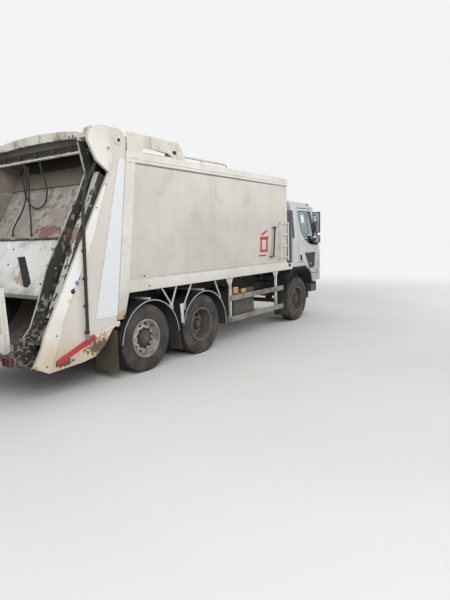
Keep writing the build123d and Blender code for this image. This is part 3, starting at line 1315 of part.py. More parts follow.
def make_ladder():
    """Tubular ladder with rounded top corners, on stand-offs from the side panel."""
    low_x = BODY_FRONT_X - 370
    high_x = BODY_FRONT_X - 30
    y = -BODY_HALF - 30
    radius = 14
    middle = (PANEL_FOOT + TOP_RAIL_BOTTOM - 20) / 2
    reach = middle - PANEL_FOOT
    with BuildPart() as ladder:
        for x in (low_x, high_x):
            bar((x, y, 1470), (x, y, 2330), radius)
            for z in (1520, 2310):
                bulge = PANEL_BULGE * (1 - (max(abs(z - middle) - radius, 0) / reach) ** 2)
                bar((x, y, z), (x, -PANEL_HALF - bulge - SEAT / 2, z), radius)
        for z in (1560, 1810, 2060, 2310):
            bar((low_x, y, z), (high_x, y, z), radius)
    keep(ladder, "ladder")


os.makedirs("parts", exist_ok=True)
make_wheels()
make_chassis_frame()
make_engine()
make_front_axle()
make_knuckles()
make_drive_axle()
make_tag_axle()
make_leaf_springs()
make_body_sides()
make_body_roof()
make_body_floor()
make_front_wall()
make_cylinder_covers()
make_lift_cylinders()
make_tailgate_sides()
make_tailgate_top()
make_hopper_floor()
make_carriage()
make_packer_cylinders()
make_packer_blade()
make_bin_lift()
make_tailgate_pipes()
make_feed_hoses()
make_tail_lamps()
make_cab()
make_cab_inside()
make_mirrors()
make_bumper()
make_rear_mudguards()
make_rear_flaps()
make_front_mudguards()
make_side_guards()
make_guard_struts()
make_tanks()
make_air_intake()
make_ladder()
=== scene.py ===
"""The looks of a three-axle rear-loading refuse truck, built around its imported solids.

Lengths are in metres. +X is forward, +Y is left and +Z is up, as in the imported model.
"""

import logging
import math
from dataclasses import dataclass
from enum import Enum

import bpy
from mathutils import Matrix, Vector


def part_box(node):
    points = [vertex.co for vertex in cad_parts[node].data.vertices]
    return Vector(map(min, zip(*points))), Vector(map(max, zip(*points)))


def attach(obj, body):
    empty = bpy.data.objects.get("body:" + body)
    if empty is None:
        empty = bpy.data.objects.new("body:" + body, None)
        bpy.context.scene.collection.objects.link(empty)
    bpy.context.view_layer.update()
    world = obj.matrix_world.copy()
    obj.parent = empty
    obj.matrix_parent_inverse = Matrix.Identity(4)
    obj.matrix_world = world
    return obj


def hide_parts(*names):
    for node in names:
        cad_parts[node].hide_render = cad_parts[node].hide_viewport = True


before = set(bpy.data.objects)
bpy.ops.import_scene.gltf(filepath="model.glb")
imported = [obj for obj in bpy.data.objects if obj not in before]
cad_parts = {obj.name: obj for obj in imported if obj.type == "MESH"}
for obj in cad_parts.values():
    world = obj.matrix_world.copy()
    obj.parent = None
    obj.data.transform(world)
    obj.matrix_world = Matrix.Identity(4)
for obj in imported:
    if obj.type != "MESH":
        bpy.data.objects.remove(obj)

logging.basicConfig(level=logging.INFO, format="%(message)s")
log = logging.getLogger("refuse_truck")

Point = tuple[float, float, float]
Colour = tuple[float, float, float]
Corners = tuple[tuple[float, float], ...]
Piece = bpy.types.Object
Material = bpy.types.Material
Link = bpy.types.NodeSocket

SIDES = ("right", "left")
SHARP_ANGLE = math.radians(35)

# Upper end and lean of the packer's guide; the end is given behind the tag axle
GUIDE_BEHIND = 0.65
GUIDE_TOP_Z = 2.944
GUIDE_LEAN = math.radians(59.7)


def tone(red: int, green: int, blue: int) -> Colour:
    """A colour given in everyday 0 to 255 steps, as the linear values that shaders take."""
    def linear(step: int) -> float:
        share = step / 255
        return share / 12.92 if share <= 0.04045 else ((share + 0.055) / 1.055) ** 2.4

    return (linear(red), linear(green), linear(blue))


# Tones that several finishes share
CLEAN_WHITE = tone(232, 231, 225)
AGED_WHITE = tone(214, 208, 194)
ROAD_DIRT = tone(92, 84, 72)
BLACK_GRIME = tone(34, 33, 31)
BRIGHT_RUST = tone(138, 78, 42)
OLD_RUST = tone(84, 50, 34)
TAN_STAIN = tone(186, 150, 104)


class Socket:
    """A socket of a material's node tree, used in ordinary Python expressions."""

    def __init__(self, shader: "Shader", link: Link) -> None:
        """Wrap one output socket."""
        self.shader = shader
        self.link = link

    def __add__(self, other: "Socket | float") -> "Socket":
        """Sum."""
        return self.shader.maths("ADD", self, other)

    def __sub__(self, other: "Socket | float") -> "Socket":
        """Difference."""
        return self.shader.maths("SUBTRACT", self, other)

    def __rsub__(self, other: float) -> "Socket":
        """A number less this socket."""
        return self.shader.maths("SUBTRACT", other, self)

    def __mul__(self, other: "Socket | float") -> "Socket":
        """Product."""
        return self.shader.maths("MULTIPLY", self, other)

    __radd__ = __add__
    __rmul__ = __mul__

    def most(self, other: "Socket | float") -> "Socket":
        """The larger of two values."""
        return self.shader.maths("MAXIMUM", self, other)

    def size(self) -> "Socket":
        """The value without its sign."""
        return self.shader.maths("ABSOLUTE", self)

    def rise(self, low: float, high: float) -> "Socket":
        """0 below low, 1 above high and a smooth step between; high may be the lower one."""
        made = self.shader.node(
            "ShaderNodeMapRange",
            {"interpolation_type": "SMOOTHSTEP"},
            {"Value": self, "From Min": low, "From Max": high},
        )
        return Socket(self.shader, made.outputs[0])

    def within(self, low: float, high: float, soft: float) -> "Socket":
        """1 between two values, with edges of a given softness."""
        return self.rise(low - soft, low + soft) * self.rise(high + soft, high - soft)


def plug(tree: bpy.types.NodeTree, value: object, target: Link) -> None:
    """Give an input socket a link, a number or a colour."""
    if isinstance(value, Socket):
        value = value.link
    if isinstance(value, Link):
        tree.links.new(value, target)
    elif target.type == "RGBA":
        target.default_value = (*value, 1.0)
    else:
        target.default_value = value


def add_node(tree: bpy.types.NodeTree, kind: str, settings: dict | None = None,
             inputs: dict | None = None) -> bpy.types.Node:
    """Add a node to a material or the world.

    Args:
        tree: the node tree.
        kind: the node's type.
        settings: its own settings, set before its sockets.
        inputs: socket name or number, and the value or link it takes.

    Returns:
        The new node.
    """
    made = tree.nodes.new(kind)
    for key, value in (settings or {}).items():
        setattr(made, key, value)
    for key, value in (inputs or {}).items():
        plug(tree, value, made.inputs[key])
    return made


@dataclass(frozen=True)
class Patch:
    """A stain or a painted shade inside a ragged ellipsoid at a place on the truck."""

    centre: Point
    size: Point
    colour: Colour
    strength: float
    ragged: float
    scale: float


class Shader:
    """A material's node tree, with a Principled surface at its end."""

    def __init__(self, name: str) -> None:
        """Start an empty material of this name."""
        self.material = bpy.data.materials.new(name)
        self.material.use_nodes = True
        self.tree = self.material.node_tree
        self.tree.nodes.clear()
        self.surface = self.node("ShaderNodeBsdfPrincipled")
        self.end = self.node("ShaderNodeOutputMaterial", inputs={"Surface": self.surface.outputs[0]})
        where = self.node("ShaderNodeTexCoord")
        self.place = where.outputs["Object"]
        self.x, self.y, self.z = self.parts(self.place)
        self.facing_x, self.facing_y, self.facing_z = self.parts(where.outputs["Normal"])

    def node(self, kind: str, settings: dict | None = None, inputs: dict | None = None) -> bpy.types.Node:
        """Add a node to this material."""
        return add_node(self.tree, kind, settings, inputs)

    def maths(self, operation: str, *values: "Socket | float") -> Socket:
        """One Math node on one or two values."""
        made = self.node("ShaderNodeMath", {"operation": operation}, dict(enumerate(values)))
        return Socket(self, made.outputs[0])

    def vectors(self, operation: str, first: Link, second: Point) -> Link:
        """One Vector Math node on a vector socket and a constant."""
        made = self.node("ShaderNodeVectorMath", {"operation": operation}, {0: first, 1: second})
        return made.outputs["Vector"]

    def length(self, vector: Link) -> Socket:
        """The length of a vector."""
        made = self.node("ShaderNodeVectorMath", {"operation": "LENGTH"}, {0: vector})
        return Socket(self, made.outputs["Value"])

    def parts(self, vector: Link) -> tuple[Socket, Socket, Socket]:
        """The three numbers of a vector socket."""
        split = self.node("ShaderNodeSeparateXYZ", inputs={0: vector})
        return tuple(Socket(self, output) for output in split.outputs)

    def noise(self, scale: float, detail: float = 4, stretch: Point = (1, 1, 1)) -> Socket:
        """Cloudy noise around a half, stretched along the axes."""
        where = self.vectors("MULTIPLY", self.place, stretch)
        made = self.node("ShaderNodeTexNoise", inputs={"Vector": where, "Scale": scale, "Detail": detail})
        return Socket(self, made.outputs[0])

    def wave(self, way: str, scale: float) -> Socket:
        """Even bands across one axis."""
        made = self.node("ShaderNodeTexWave", {"bands_direction": way},
                         {"Vector": self.place, "Scale": scale})
        return Socket(self, made.outputs["Fac"])

    def blend(self, share: "Socket | float", first: object, second: object) -> Socket:
        """Two colours mixed by a share of the second."""
        made = self.node("ShaderNodeMix", {"data_type": "RGBA"}, {0: share, 6: first, 7: second})
        return Socket(self, made.outputs[2])

    def rust(self, fine: Socket, bright: Colour = BRIGHT_RUST) -> Socket:
        """Old rust, bright where the fine noise is high."""
        return self.blend(fine.rise(0.4, 0.6), OLD_RUST, bright)

    def with_patches(self, colour: Socket, patches: tuple[Patch, ...]) -> Socket:
        """A colour with stains and painted shades laid over it in their order."""
        for patch in patches:
            away = self.vectors("SUBTRACT", self.place, patch.centre)
            ragged = (self.noise(patch.scale, 6) - 0.5) * patch.ragged
            inside = (self.length(self.vectors("DIVIDE", away, patch.size)) + ragged).rise(1.0, 0.85)
            colour = self.blend(inside * patch.strength, colour, patch.colour)
        return colour

    def worn_edges(self, radius: float) -> tuple[Socket, Link]:
        """1 along the model's edges, and the normal that rounds them."""
        rounded = self.node("ShaderNodeBevel", {"samples": 4}, {"Radius": radius}).outputs[0]
        flat = self.node("ShaderNodeNewGeometry").outputs["Normal"]
        made = self.node("ShaderNodeVectorMath", {"operation": "DOT_PRODUCT"}, {0: rounded, 1: flat})
        return Socket(self, made.outputs["Value"]).rise(0.985, 0.9), rounded

    def finish(self, colour: object, roughness: object, height: Socket | None = None, depth: float = 0.002,
               metallic: object = 0.0, normal: Link | None = None) -> Material:
        """Feed the surface.

        Args:
            colour: base colour, as a socket or a plain colour.
            roughness: a socket or a number.
            height: what the bump follows.
            depth: how far the bump stands out, in metres.
            metallic: a socket or a number.
            normal: the normal that the bump starts from.

        Returns:
            The finished material.
        """
        values = {"Base Color": colour, "Roughness": roughness, "Metallic": metallic}
        if height is not None:
            bump_inputs = {"Height": height, "Strength": 0.6, "Distance": depth}
            if normal is not None:
                bump_inputs["Normal"] = normal
            values["Normal"] = self.node("ShaderNodeBump", inputs=bump_inputs).outputs[0]
        for key, value in values.items():
            plug(self.tree, value, self.surface.inputs[key])
        return self.material


@dataclass(frozen=True)
class WeatheredPaint:
    """Old sprayed paint with grime, rain streaks, road dirt near the ground, chips and rust."""

    name: str
    colour: Colour
    shade: Colour
    grime: Colour = ROAD_DIRT
    grime_share: float = 0.35
    streaks: float = 0.35
    foot: tuple[float, float] = (0.7, 1.3)
    foot_share: float = 0.6
    rust: float = 0.3
    chips: float = 0.5
    roughness: float = 0.42
    patches: tuple[Patch, ...] = ()
    # Painted shade: a darker colour for the recessed side panel, inside the given half width
    panel: Colour | None = None
    panel_half: float = 1.2375

    def make(self) -> Material:
        """Build the material; a panel colour of painted shade covers what lies inside the panel's half width.
        """
        shader = Shader(self.name)
        clouds = shader.noise(0.9, 5)
        fine = shader.noise(26, 6)
        colour = shader.blend(clouds.rise(0.3, 0.7), self.colour, self.shade)
        # Painted shade on the recessed side panel
        if self.panel:
            inner = shader.y.size().rise(self.panel_half + 0.001, self.panel_half - 0.001)
            painted_panel_shade = shader.blend(clouds.rise(0.3, 0.7) * 0.4, self.panel, tone(182, 174, 160))
            colour = shader.blend(inner, colour, painted_panel_shade)
        runs = shader.noise(2.2, 7, (3.2, 3.2, 0.22)).rise(0.54, 0.8) * self.streaks
        colour = shader.blend(runs, colour, self.grime)
        smears = (shader.noise(3.1, 8) + (fine - 0.5) * 0.3).rise(0.5, 0.78) * self.grime_share
        colour = shader.blend(smears, colour, self.grime)
        splash = shader.z + (shader.noise(4.5, 6) - 0.5) * 0.5
        colour = shader.blend(splash.rise(self.foot[1], self.foot[0]) * self.foot_share, colour, self.grime)
        dust = shader.facing_z.rise(0.55, 0.9) * shader.noise(5, 5).rise(0.3, 0.65) * 0.55
        colour = shader.blend(dust, colour, tone(150, 142, 126))
        edges, rounded = shader.worn_edges(0.006)
        worn = edges * shader.noise(9, 6).rise(0.5, 0.62) * self.chips
        specks = (shader.noise(11, 8) + (clouds - 0.5) * 0.3).rise(0.70, 0.76) * self.rust
        rusted = worn.most(specks)
        colour = shader.with_patches(shader.blend(rusted, colour, shader.rust(fine)), self.patches)
        dull = smears + runs * 0.4
        rough = dull * 0.3 + (fine - 0.5) * 0.12 + self.roughness
        height = fine * 0.3 + clouds * 0.4 - rusted
        return shader.finish(colour, rough, height, 0.0012, normal=rounded)


@dataclass(frozen=True)
class TailgateSkin:
    """Tailgate walls: white outside with painted shade and a painted reflection on the panels, black with
    peeling paint in the recess, steel with stains in the hopper.
    """

    name: str
    guide_x: float
    patches: tuple[Patch, ...]
    plate_inside: float = 1.206
    wall_outside: float = 1.042
    wall_inside: float = 1.0115

    def make(self) -> Material:
        """Build the material."""
        shader = Shader(self.name)
        out = shader.y.size()
        clouds = shader.noise(1.1, 5)
        fine = shader.noise(30, 6)
        blot = shader.noise(7, 9)
        white = shader.blend(clouds.rise(0.35, 0.7), CLEAN_WHITE, AGED_WHITE)
        runs = shader.noise(2.6, 7, (3, 3, 0.25)).rise(0.56, 0.8) * 0.3
        white = shader.blend(runs, white, tone(150, 138, 116))
        # Painted shade: beige on the recessed panels inside the raised band
        painted_panel_shade = shader.blend(clouds.rise(0.35, 0.7), tone(210, 205, 196), tone(202, 194, 181))
        white = shader.blend(out.rise(1.2390, 1.2385), white, painted_panel_shade)
        # Painted reflection: a bluish white on the faces a little proud of the panel
        white = shader.blend(out.within(1.2395, 1.2460, 0.0005), white, tone(220, 223, 225))
        low = shader.z + (shader.noise(3.5, 7) - 0.5) * 0.55
        white = shader.blend(low.rise(0.95, 0.5) * 0.45, white, TAN_STAIN)
        peel = (shader.noise(15, 9, (1, 1, 0.6)) + (fine - 0.5) * 0.3).rise(0.6, 0.66)
        black = shader.blend(clouds.rise(0.3, 0.7), BLACK_GRIME, tone(58, 54, 48))
        recess = shader.blend(peel * 0.6, black, tone(168, 164, 154))
        rear_edge = shader.facing_x.rise(-0.45, -0.8) * out.rise(self.wall_outside + 0.03, self.wall_outside)
        recess = shader.blend(rear_edge * blot.rise(0.32, 0.46), recess, tone(186, 181, 168))
        smeared = shader.noise(2.4, 8, (1, 1, 0.5)).rise(0.3, 0.7)
        steel = shader.blend(smeared, tone(98, 90, 77), tone(140, 133, 119))
        crumbs = (shader.noise(24, 8) + (blot - 0.5) * 0.4).rise(0.54, 0.6) * shader.z.rise(1.25, 0.85)
        recess = shader.blend(crumbs * 0.75, recess, tone(152, 147, 136))
        ahead = (shader.x - self.guide_x) * math.sin(GUIDE_LEAN)
        inward = ahead - (shader.z - GUIDE_TOP_Z) * math.cos(GUIDE_LEAN)
        strip = inward.rise(0.105, 0.085) * out.within(1.088, 1.199, 0.001) * shader.facing_x.rise(-0.3, -0.6)
        flaky = (shader.noise(11, 9, (1, 1, 0.35)) + (fine - 0.5) * 0.3).rise(0.39, 0.45)
        bare = shader.blend(flaky, tone(70, 64, 56), tone(196, 193, 183))
        recess = shader.blend(strip, recess, bare)
        scrape = shader.noise(5, 7, (0.5, 1, 2.4)).rise(0.58, 0.7)
        steel = shader.blend(scrape * 0.55, steel, tone(176, 171, 158))
        steel = shader.blend(low.rise(1.5, 1.15) * 0.88, steel, tone(36, 35, 32))
        inside = out.rise(self.wall_inside + 0.001, self.wall_inside - 0.001)
        dark = shader.blend(inside, recess, steel)
        plate = out.rise(self.plate_inside - 0.002, self.plate_inside + 0.002)
        top = shader.z.rise(3.33, 3.37)
        colour = shader.blend(plate.most(top), dark, white)
        edges, rounded = shader.worn_edges(0.006)
        colour = shader.blend(edges * plate * 0.5, colour, tone(158, 140, 114))
        worn = edges * shader.noise(8, 6).rise(0.5, 0.6) * 0.7
        colour = shader.blend(worn, colour, shader.rust(fine, tone(120, 92, 66)))
        colour = shader.with_patches(colour, self.patches)
        rough = (1 - plate) * 0.25 + (fine - 0.5) * 0.15 + 0.42
        height = fine * 0.35 + peel * 0.5 * (1 - plate) - worn * 0.6
        return shader.finish(colour, rough, height, 0.002, normal=rounded)


@dataclass(frozen=True)
class WornSteel:
    """Bare or thinly painted steel with scuffs, grime and rust."""

    name: str
    colour: Colour
    scuffed: Colour
    rust: float = 0.5
    metallic: float = 0.3
    roughness: float = 0.6
    grime: Colour = BLACK_GRIME
    grime_share: float = 0.5
    stretch: Point = (1, 1, 1)
    patches: tuple[Patch, ...] = ()

    def make(self) -> Material:
        """Build the material."""
        shader = Shader(self.name)
        clouds = shader.noise(3, 6, self.stretch)
        fine = shader.noise(42, 5, self.stretch)
        blot = shader.noise(9, 8)
        colour = shader.blend(clouds.rise(0.35, 0.65), self.colour, self.scuffed)
        dirty = (blot + (clouds - 0.5) * 0.6).rise(0.52, 0.68) * self.grime_share
        colour = shader.blend(dirty, colour, self.grime)
        edges, rounded = shader.worn_edges(0.004)
        rusted_edges = edges * self.rust * fine.rise(0.4, 0.55)
        rusted = (shader.noise(6, 8).rise(0.56, 0.66) * self.rust).most(rusted_edges)
        colour = shader.with_patches(shader.blend(rusted, colour, shader.rust(fine)), self.patches)
        matt = dirty.most(rusted)
        rough = matt * 0.3 + (fine - 0.5) * 0.15 + self.roughness
        return shader.finish(colour, rough, fine * 0.5 + clouds * 0.5 - matt * 0.5, 0.0015,
                             metallic=(1 - matt) * self.metallic, normal=rounded)


@dataclass(frozen=True)
class WheelMetal:
    """A wheel disc: painted steel, dark and greasy at its hub and dirty in its rim well."""

    name: str
    axle_x: float
    axle_z: float
    colour: Colour
    shade: Colour
    hub: Colour = BLACK_GRIME
    hub_radius: float = 0.112
    well_radius: float = 0.262
    metallic: float = 0.25

    def make(self) -> Material:
        """Build the material."""
        shader = Shader(self.name)
        away = shader.vectors("SUBTRACT", shader.place, (self.axle_x, 0, self.axle_z))
        radius = shader.length(shader.vectors("MULTIPLY", away, (1, 0, 1)))
        clouds = shader.noise(7, 7)
        fine = shader.noise(55, 5)
        ragged = radius + (clouds - 0.5) * 0.05
        colour = shader.blend(clouds.rise(0.35, 0.7), self.colour, self.shade)
        hub = ragged.rise(self.hub_radius + 0.008, self.hub_radius - 0.008)
        cap = ragged.rise(0.05, 0.035)
        colour = shader.blend(hub * 0.92, colour, self.hub)
        colour = shader.blend(cap * 0.4, colour, tone(118, 115, 110))
        well = ragged.rise(self.well_radius - 0.01, self.well_radius + 0.02)
        colour = shader.blend(well * 0.65, colour, tone(92, 76, 62))
        rusted = shader.noise(12, 8).rise(0.6, 0.7) * (well * 0.5 + 0.25)
        colour = shader.blend(rusted, colour, OLD_RUST)
        dirty = hub.most(well).most(rusted)
        rough = dirty * 0.35 + (fine - 0.5) * 0.1 + 0.38
        edges, rounded = shader.worn_edges(0.004)
        colour = shader.blend(edges * fine.rise(0.45, 0.6) * 0.35, colour, ROAD_DIRT)
        return shader.finish(colour, rough, fine * 0.4 + clouds * 0.5, 0.001,
                             metallic=(1 - dirty) * self.metallic, normal=rounded)


@dataclass(frozen=True)
class OldRubber:
    """Rubber greyed by dust, darker where it rolls."""

    name: str
    colour: Colour = tone(38, 37, 37)
    dust: Colour = tone(104, 94, 82)
    dust_share: float = 0.6

    def make(self) -> Material:
        """Build the material."""
        shader = Shader(self.name)
        clouds = shader.noise(3.5, 7)
        fine = shader.noise(60, 6)
        colour = shader.blend(fine.rise(0.4, 0.6), self.colour, tone(52, 50, 49))
        side = shader.facing_y.size().rise(0.3, 0.8)
        dusty = (clouds + (fine - 0.5) * 0.3).rise(0.36, 0.7) * (side * 0.6 + 0.25) * self.dust_share
        colour = shader.blend(dusty, colour, self.dust)
        return shader.finish(colour, dusty * 0.1 + 0.78, fine * 0.6 + clouds * 0.4, 0.0015)


@dataclass(frozen=True)
class Moulding:
    """Moulded plastic with a fine grain, sun-bleached and dusty."""

    name: str
    colour: Colour
    bleached: Colour
    roughness: float = 0.55
    dust_share: float = 0.35

    def make(self) -> Material:
        """Build the material."""
        shader = Shader(self.name)
        clouds = shader.noise(2.2, 6)
        grain = shader.noise(180, 3)
        colour = shader.blend(clouds.rise(0.35, 0.7), self.colour, self.bleached)
        dirt = shader.noise(6, 8).rise(0.5, 0.72) * self.dust_share
        low = (shader.z + (clouds - 0.5) * 0.5).rise(1.1, 0.3) * self.dust_share
        colour = shader.blend(dirt.most(low), colour, tone(120, 112, 98))
        edges, rounded = shader.worn_edges(0.004)
        colour = shader.blend(edges * 0.25, colour, tone(128, 126, 122))
        height = grain * 0.6 + clouds * 0.2
        return shader.finish(colour, dirt * 0.3 + self.roughness, height, 0.0006, normal=rounded)


@dataclass(frozen=True)
class Pane:
    """Window glass, or a lamp's lens with fine flutes."""

    name: str
    tint: Colour
    flutes: float = 0.0
    clear: float = 1.0
    roughness: float = 0.03

    def make(self) -> Material:
        """Build the material."""
        shader = Shader(self.name)
        film = shader.noise(5, 6).rise(0.5, 0.75)
        colour = shader.blend(film * 0.2, self.tint, tone(150, 146, 136))
        height = shader.wave("Y", 22) * self.flutes + film * 0.05
        shader.surface.inputs["Transmission Weight"].default_value = self.clear
        shader.surface.inputs["IOR"].default_value = 1.46
        return shader.finish(colour, film * 0.06 + self.roughness, height, 0.001)


@dataclass(frozen=True)
class SeatCloth:
    """Woven seat cloth, rubbed paler where people sit."""

    name: str
    colour: Colour = tone(52, 55, 62)

    def make(self) -> Material:
        """Build the material."""
        shader = Shader(self.name)
        weave = shader.wave("Y", 90) * shader.wave("Z", 90)
        colour = shader.blend(weave * 0.5, self.colour, tone(98, 100, 106))
        colour = shader.blend(shader.noise(4, 5).rise(0.5, 0.7) * 0.3, colour, tone(120, 116, 108))
        return shader.finish(colour, 0.92, weave, 0.0008)


def deselect() -> None:
    """Leave nothing selected."""
    bpy.ops.object.select_all(action="DESELECT")


def pick(piece: Piece) -> Piece:
    """Make one object the only selected and active one."""
    deselect()
    piece.select_set(True)
    bpy.context.view_layer.objects.active = piece
    return piece


def edit_all(piece: Piece) -> None:
    """Go into edit mode with the whole mesh selected."""
    pick(piece)
    bpy.ops.object.mode_set(mode="EDIT")
    bpy.ops.mesh.select_all(action="SELECT")


def leave_edit(faced: bool = True) -> None:
    """Go back to object mode, by default with every face turned outwards."""
    if faced:
        bpy.ops.mesh.select_all(action="SELECT")
        bpy.ops.mesh.normals_make_consistent(inside=False)
    bpy.ops.object.mode_set(mode="OBJECT")


def soften(piece: Piece, width: float, segments: int = 2) -> Piece:
    """Round the sharp edges of a piece with an applied bevel."""
    pick(piece)
    bevel = piece.modifiers.new("soft_edges", "BEVEL")
    bevel.width = width
    bevel.segments = segments
    bevel.limit_method = "ANGLE"
    bevel.angle_limit = SHARP_ANGLE
    bpy.ops.object.modifier_apply(modifier=bevel.name)
    return piece


def block(low: Point, high: Point, edge: float = 0.004) -> Piece:
    """A box between two corners, with rounded edges."""
    deselect()
    middle = (Vector(low) + Vector(high)) / 2
    bpy.ops.mesh.primitive_cube_add(size=1, location=middle)
    piece = bpy.context.active_object
    piece.scale = Vector(high) - Vector(low)
    bpy.ops.object.transform_apply(location=True, rotation=True, scale=True)
    return soften(piece, edge) if edge else piece


def ring(points: list[Point], fill: str) -> Piece:
    """A closed line of points, left in edit mode with all of it selected."""
    deselect()
    bpy.ops.mesh.primitive_circle_add(vertices=len(points), fill_type=fill)
    piece = bpy.context.active_object
    for vertex, point in zip(piece.data.vertices, points):
        vertex.co = Vector(point) - piece.location
    edit_all(piece)
    return piece


def outline(points: list[Point], thick: Point, edge: float = 0.003) -> Piece:
    """A plate with a flat outline, drawn point by point and extruded.

    Args:
        points: its corners in order.
        thick: the way and distance it is extruded.
        edge: radius of its edges, or 0.

    Returns:
        The plate.
    """
    piece = ring(points, "NGON")
    bpy.ops.mesh.extrude_region_move(TRANSFORM_OT_translate={"value": thick})
    leave_edit()
    return soften(piece, edge) if edge else piece


def upright(corners: Corners, y: float, thick: float, edge: float, start_x: float = 0.0) -> Piece:
    """A plate that faces right: corners give X and Z, and its thickness lies on the left of y."""
    return outline([(start_x + x, y, z) for x, z in corners], (0, thick, 0), edge)


def rod(start: Point, end: Point, radius: float, sides: int = 20, edge: float = 0.002) -> Piece:
    """A straight round or many-sided rod between two points."""
    deselect()
    axis = Vector(end) - Vector(start)
    turn = axis.to_track_quat("Z", "Y").to_euler()
    middle = (Vector(start) + Vector(end)) / 2
    bpy.ops.mesh.primitive_cylinder_add(vertices=sides, radius=radius, depth=axis.length,
                                        location=middle, rotation=turn)
    piece = bpy.context.active_object
    bpy.ops.object.transform_apply(location=True, rotation=True, scale=True)
    return soften(piece, edge) if edge else piece


def bolt(start: Point, end: Point, radius: float = 0.011, edge: float = 0.0015) -> Piece:
    """A hexagon head between two points."""
    return rod(start, end, radius, 6, edge)


def head(x: float, z: float, inner_y: float, outer_y: float, radius: float = 0.011, sides: int = 6,
         edge: float = 0.0015) -> Piece:
    """A hexagon or round head that stands out sideways."""
    return rod((x, inner_y, z), (x, outer_y, z), radius, sides, edge)


def seal(points: list[Point], radius: float) -> list[Piece]:
    """Thin round rods along a closed line of points."""
    return [rod(start, end, radius, 8, 0) for start, end in zip(points, points[1:] + points[:1])]


def spun(profile: list[tuple[float, float]], centre: Point, steps: int = 96) -> Piece:
    """A closed profile of (distance along Y, radius) spun about an axle.

    Args:
        profile: points in order, each its place along the axle and its radius.
        centre: the point on the axle that the profile starts from.
        steps: faces round the circle.

    Returns:
        The spun piece.
    """
    x, y, z = centre
    piece = ring([(x, y + along, z + radius) for along, radius in profile], "NOTHING")
    bpy.ops.mesh.spin(steps=steps, angle=math.tau, center=centre, axis=(0, 1, 0))
    bpy.ops.mesh.select_all(action="SELECT")
    bpy.ops.mesh.remove_doubles(threshold=0.0001)
    leave_edit()
    return piece


def ring_of_copies(piece: Piece, centre: Point, count: int) -> Piece:
    """Copies of a piece spun about an axle along Y, evenly round the circle."""
    edit_all(piece)
    bpy.ops.mesh.spin(steps=count - 1, dupli=True, angle=math.tau * (count - 1) / count,
                      center=centre, axis=(0, 1, 0))
    leave_edit(faced=False)
    return piece


def tube(points: list[Point], radius: float, rings: int = 5, sides: int = 3) -> Piece:
    """A bent pipe or hose that follows a smooth line near the given points."""
    deselect()
    bpy.ops.curve.primitive_nurbs_path_add()
    piece = bpy.context.active_object
    piece.location = (0, 0, 0)
    curve = piece.data
    curve.splines.clear()
    line = curve.splines.new("NURBS")
    line.points.add(len(points) - 1)
    for knot, point in zip(line.points, points):
        knot.co = (*point, 1)
    line.order_u = 3
    line.use_endpoint_u = True
    line.resolution_u = rings
    curve.dimensions = "3D"
    curve.bevel_depth = radius
    curve.bevel_resolution = sides
    curve.use_fill_caps = True
    pick(piece)
    bpy.ops.object.convert(target="MESH")
    return bpy.context.active_object


def joined(pieces: list[Piece]) -> Piece:
    """Several pieces as one mesh."""
    deselect()
    for piece in pieces:
        piece.select_set(True)
    bpy.context.view_layer.objects.active = pieces[0]
    if len(pieces) > 1:
        bpy.ops.object.join()
    return bpy.context.active_object


def mirrored(piece: Piece) -> Piece:
    """A copy of a piece on the other side of the truck, facing outwards."""
    twin = piece.copy()
    twin.data = piece.data.copy()
    bpy.context.scene.collection.objects.link(twin)
    twin.data.transform(Matrix.Scale(-1, 4, (0, 1, 0)))
    edit_all(twin)
    leave_edit()
    return twin


class Workshop:
    """Keeps the finishes, and hangs each dressed piece on its body."""

    def __init__(self, finishes: dict[str, Material]) -> None:
        """Start with the named finishes."""
        self.finishes = finishes

    def fit(self, piece: Piece, name: str, finish: str, body: str, slot: str) -> None:
        """Name, dress and hang one piece.

        Args:
            piece: the modelled object.
            name: its plain name.
            finish: the finish it is dressed in.
            body: the body it rides on.
            slot: the record's material slot that it belongs to; not used.
        """
        pick(piece)
        bpy.ops.object.transform_apply(location=True, rotation=True, scale=True)
        bpy.ops.object.shade_smooth_by_angle(angle=SHARP_ANGLE)
        piece.name = name
        piece.data.name = name
        piece.data.materials.clear()
        piece.data.materials.append(self.finishes[finish])
        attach(piece, body)
        log.info("%s rides on %s with %d faces", name, body, len(piece.data.polygons))

    def fit_both(self, piece: Piece, name: str, finish: str, body: str, slot: str) -> None:
        """Fit a right-hand piece and its mirror image; a body name may hold {side}."""
        for side, made in zip(SIDES, (piece, mirrored(piece))):
            self.fit(made, f"{name}_{side}", finish, body.format(side=side), slot)


@dataclass(frozen=True)
class Layout:
    """Main places of the truck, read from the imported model."""

    front_x: float
    drive_x: float
    tag_x: float
    axle_z: float
    tyre_radius: float

    @classmethod
    def measure(cls) -> "Layout":
        """Find the axles from the boxes of their tyres."""
        middles = {}
        for name in ("front_tyre_right", "drive_tyres_right", "tag_tyre_right"):
            low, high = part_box(name)
            middles[name] = (low + high) / 2
        low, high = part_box("front_tyre_right")
        return cls(
            front_x=middles["front_tyre_right"].x,
            drive_x=middles["drive_tyres_right"].x,
            tag_x=middles["tag_tyre_right"].x,
            axle_z=middles["front_tyre_right"].z,
            tyre_radius=(high.z - low.z) / 2,
        )

    def guide(self, along: float, inward: float, y: float) -> Point:
        """A point beside the packer's guide: down along it, and forward of its rear edge."""
        x = self.tag_x - GUIDE_BEHIND - along * math.cos(GUIDE_LEAN) + inward * math.sin(GUIDE_LEAN)
        return (x, y, GUIDE_TOP_Z - along * math.sin(GUIDE_LEAN) - inward * math.cos(GUIDE_LEAN))


class Tread(Enum):
    """Kinds of tread."""

    RIBS = "ribs"
    BLOCKS = "blocks"


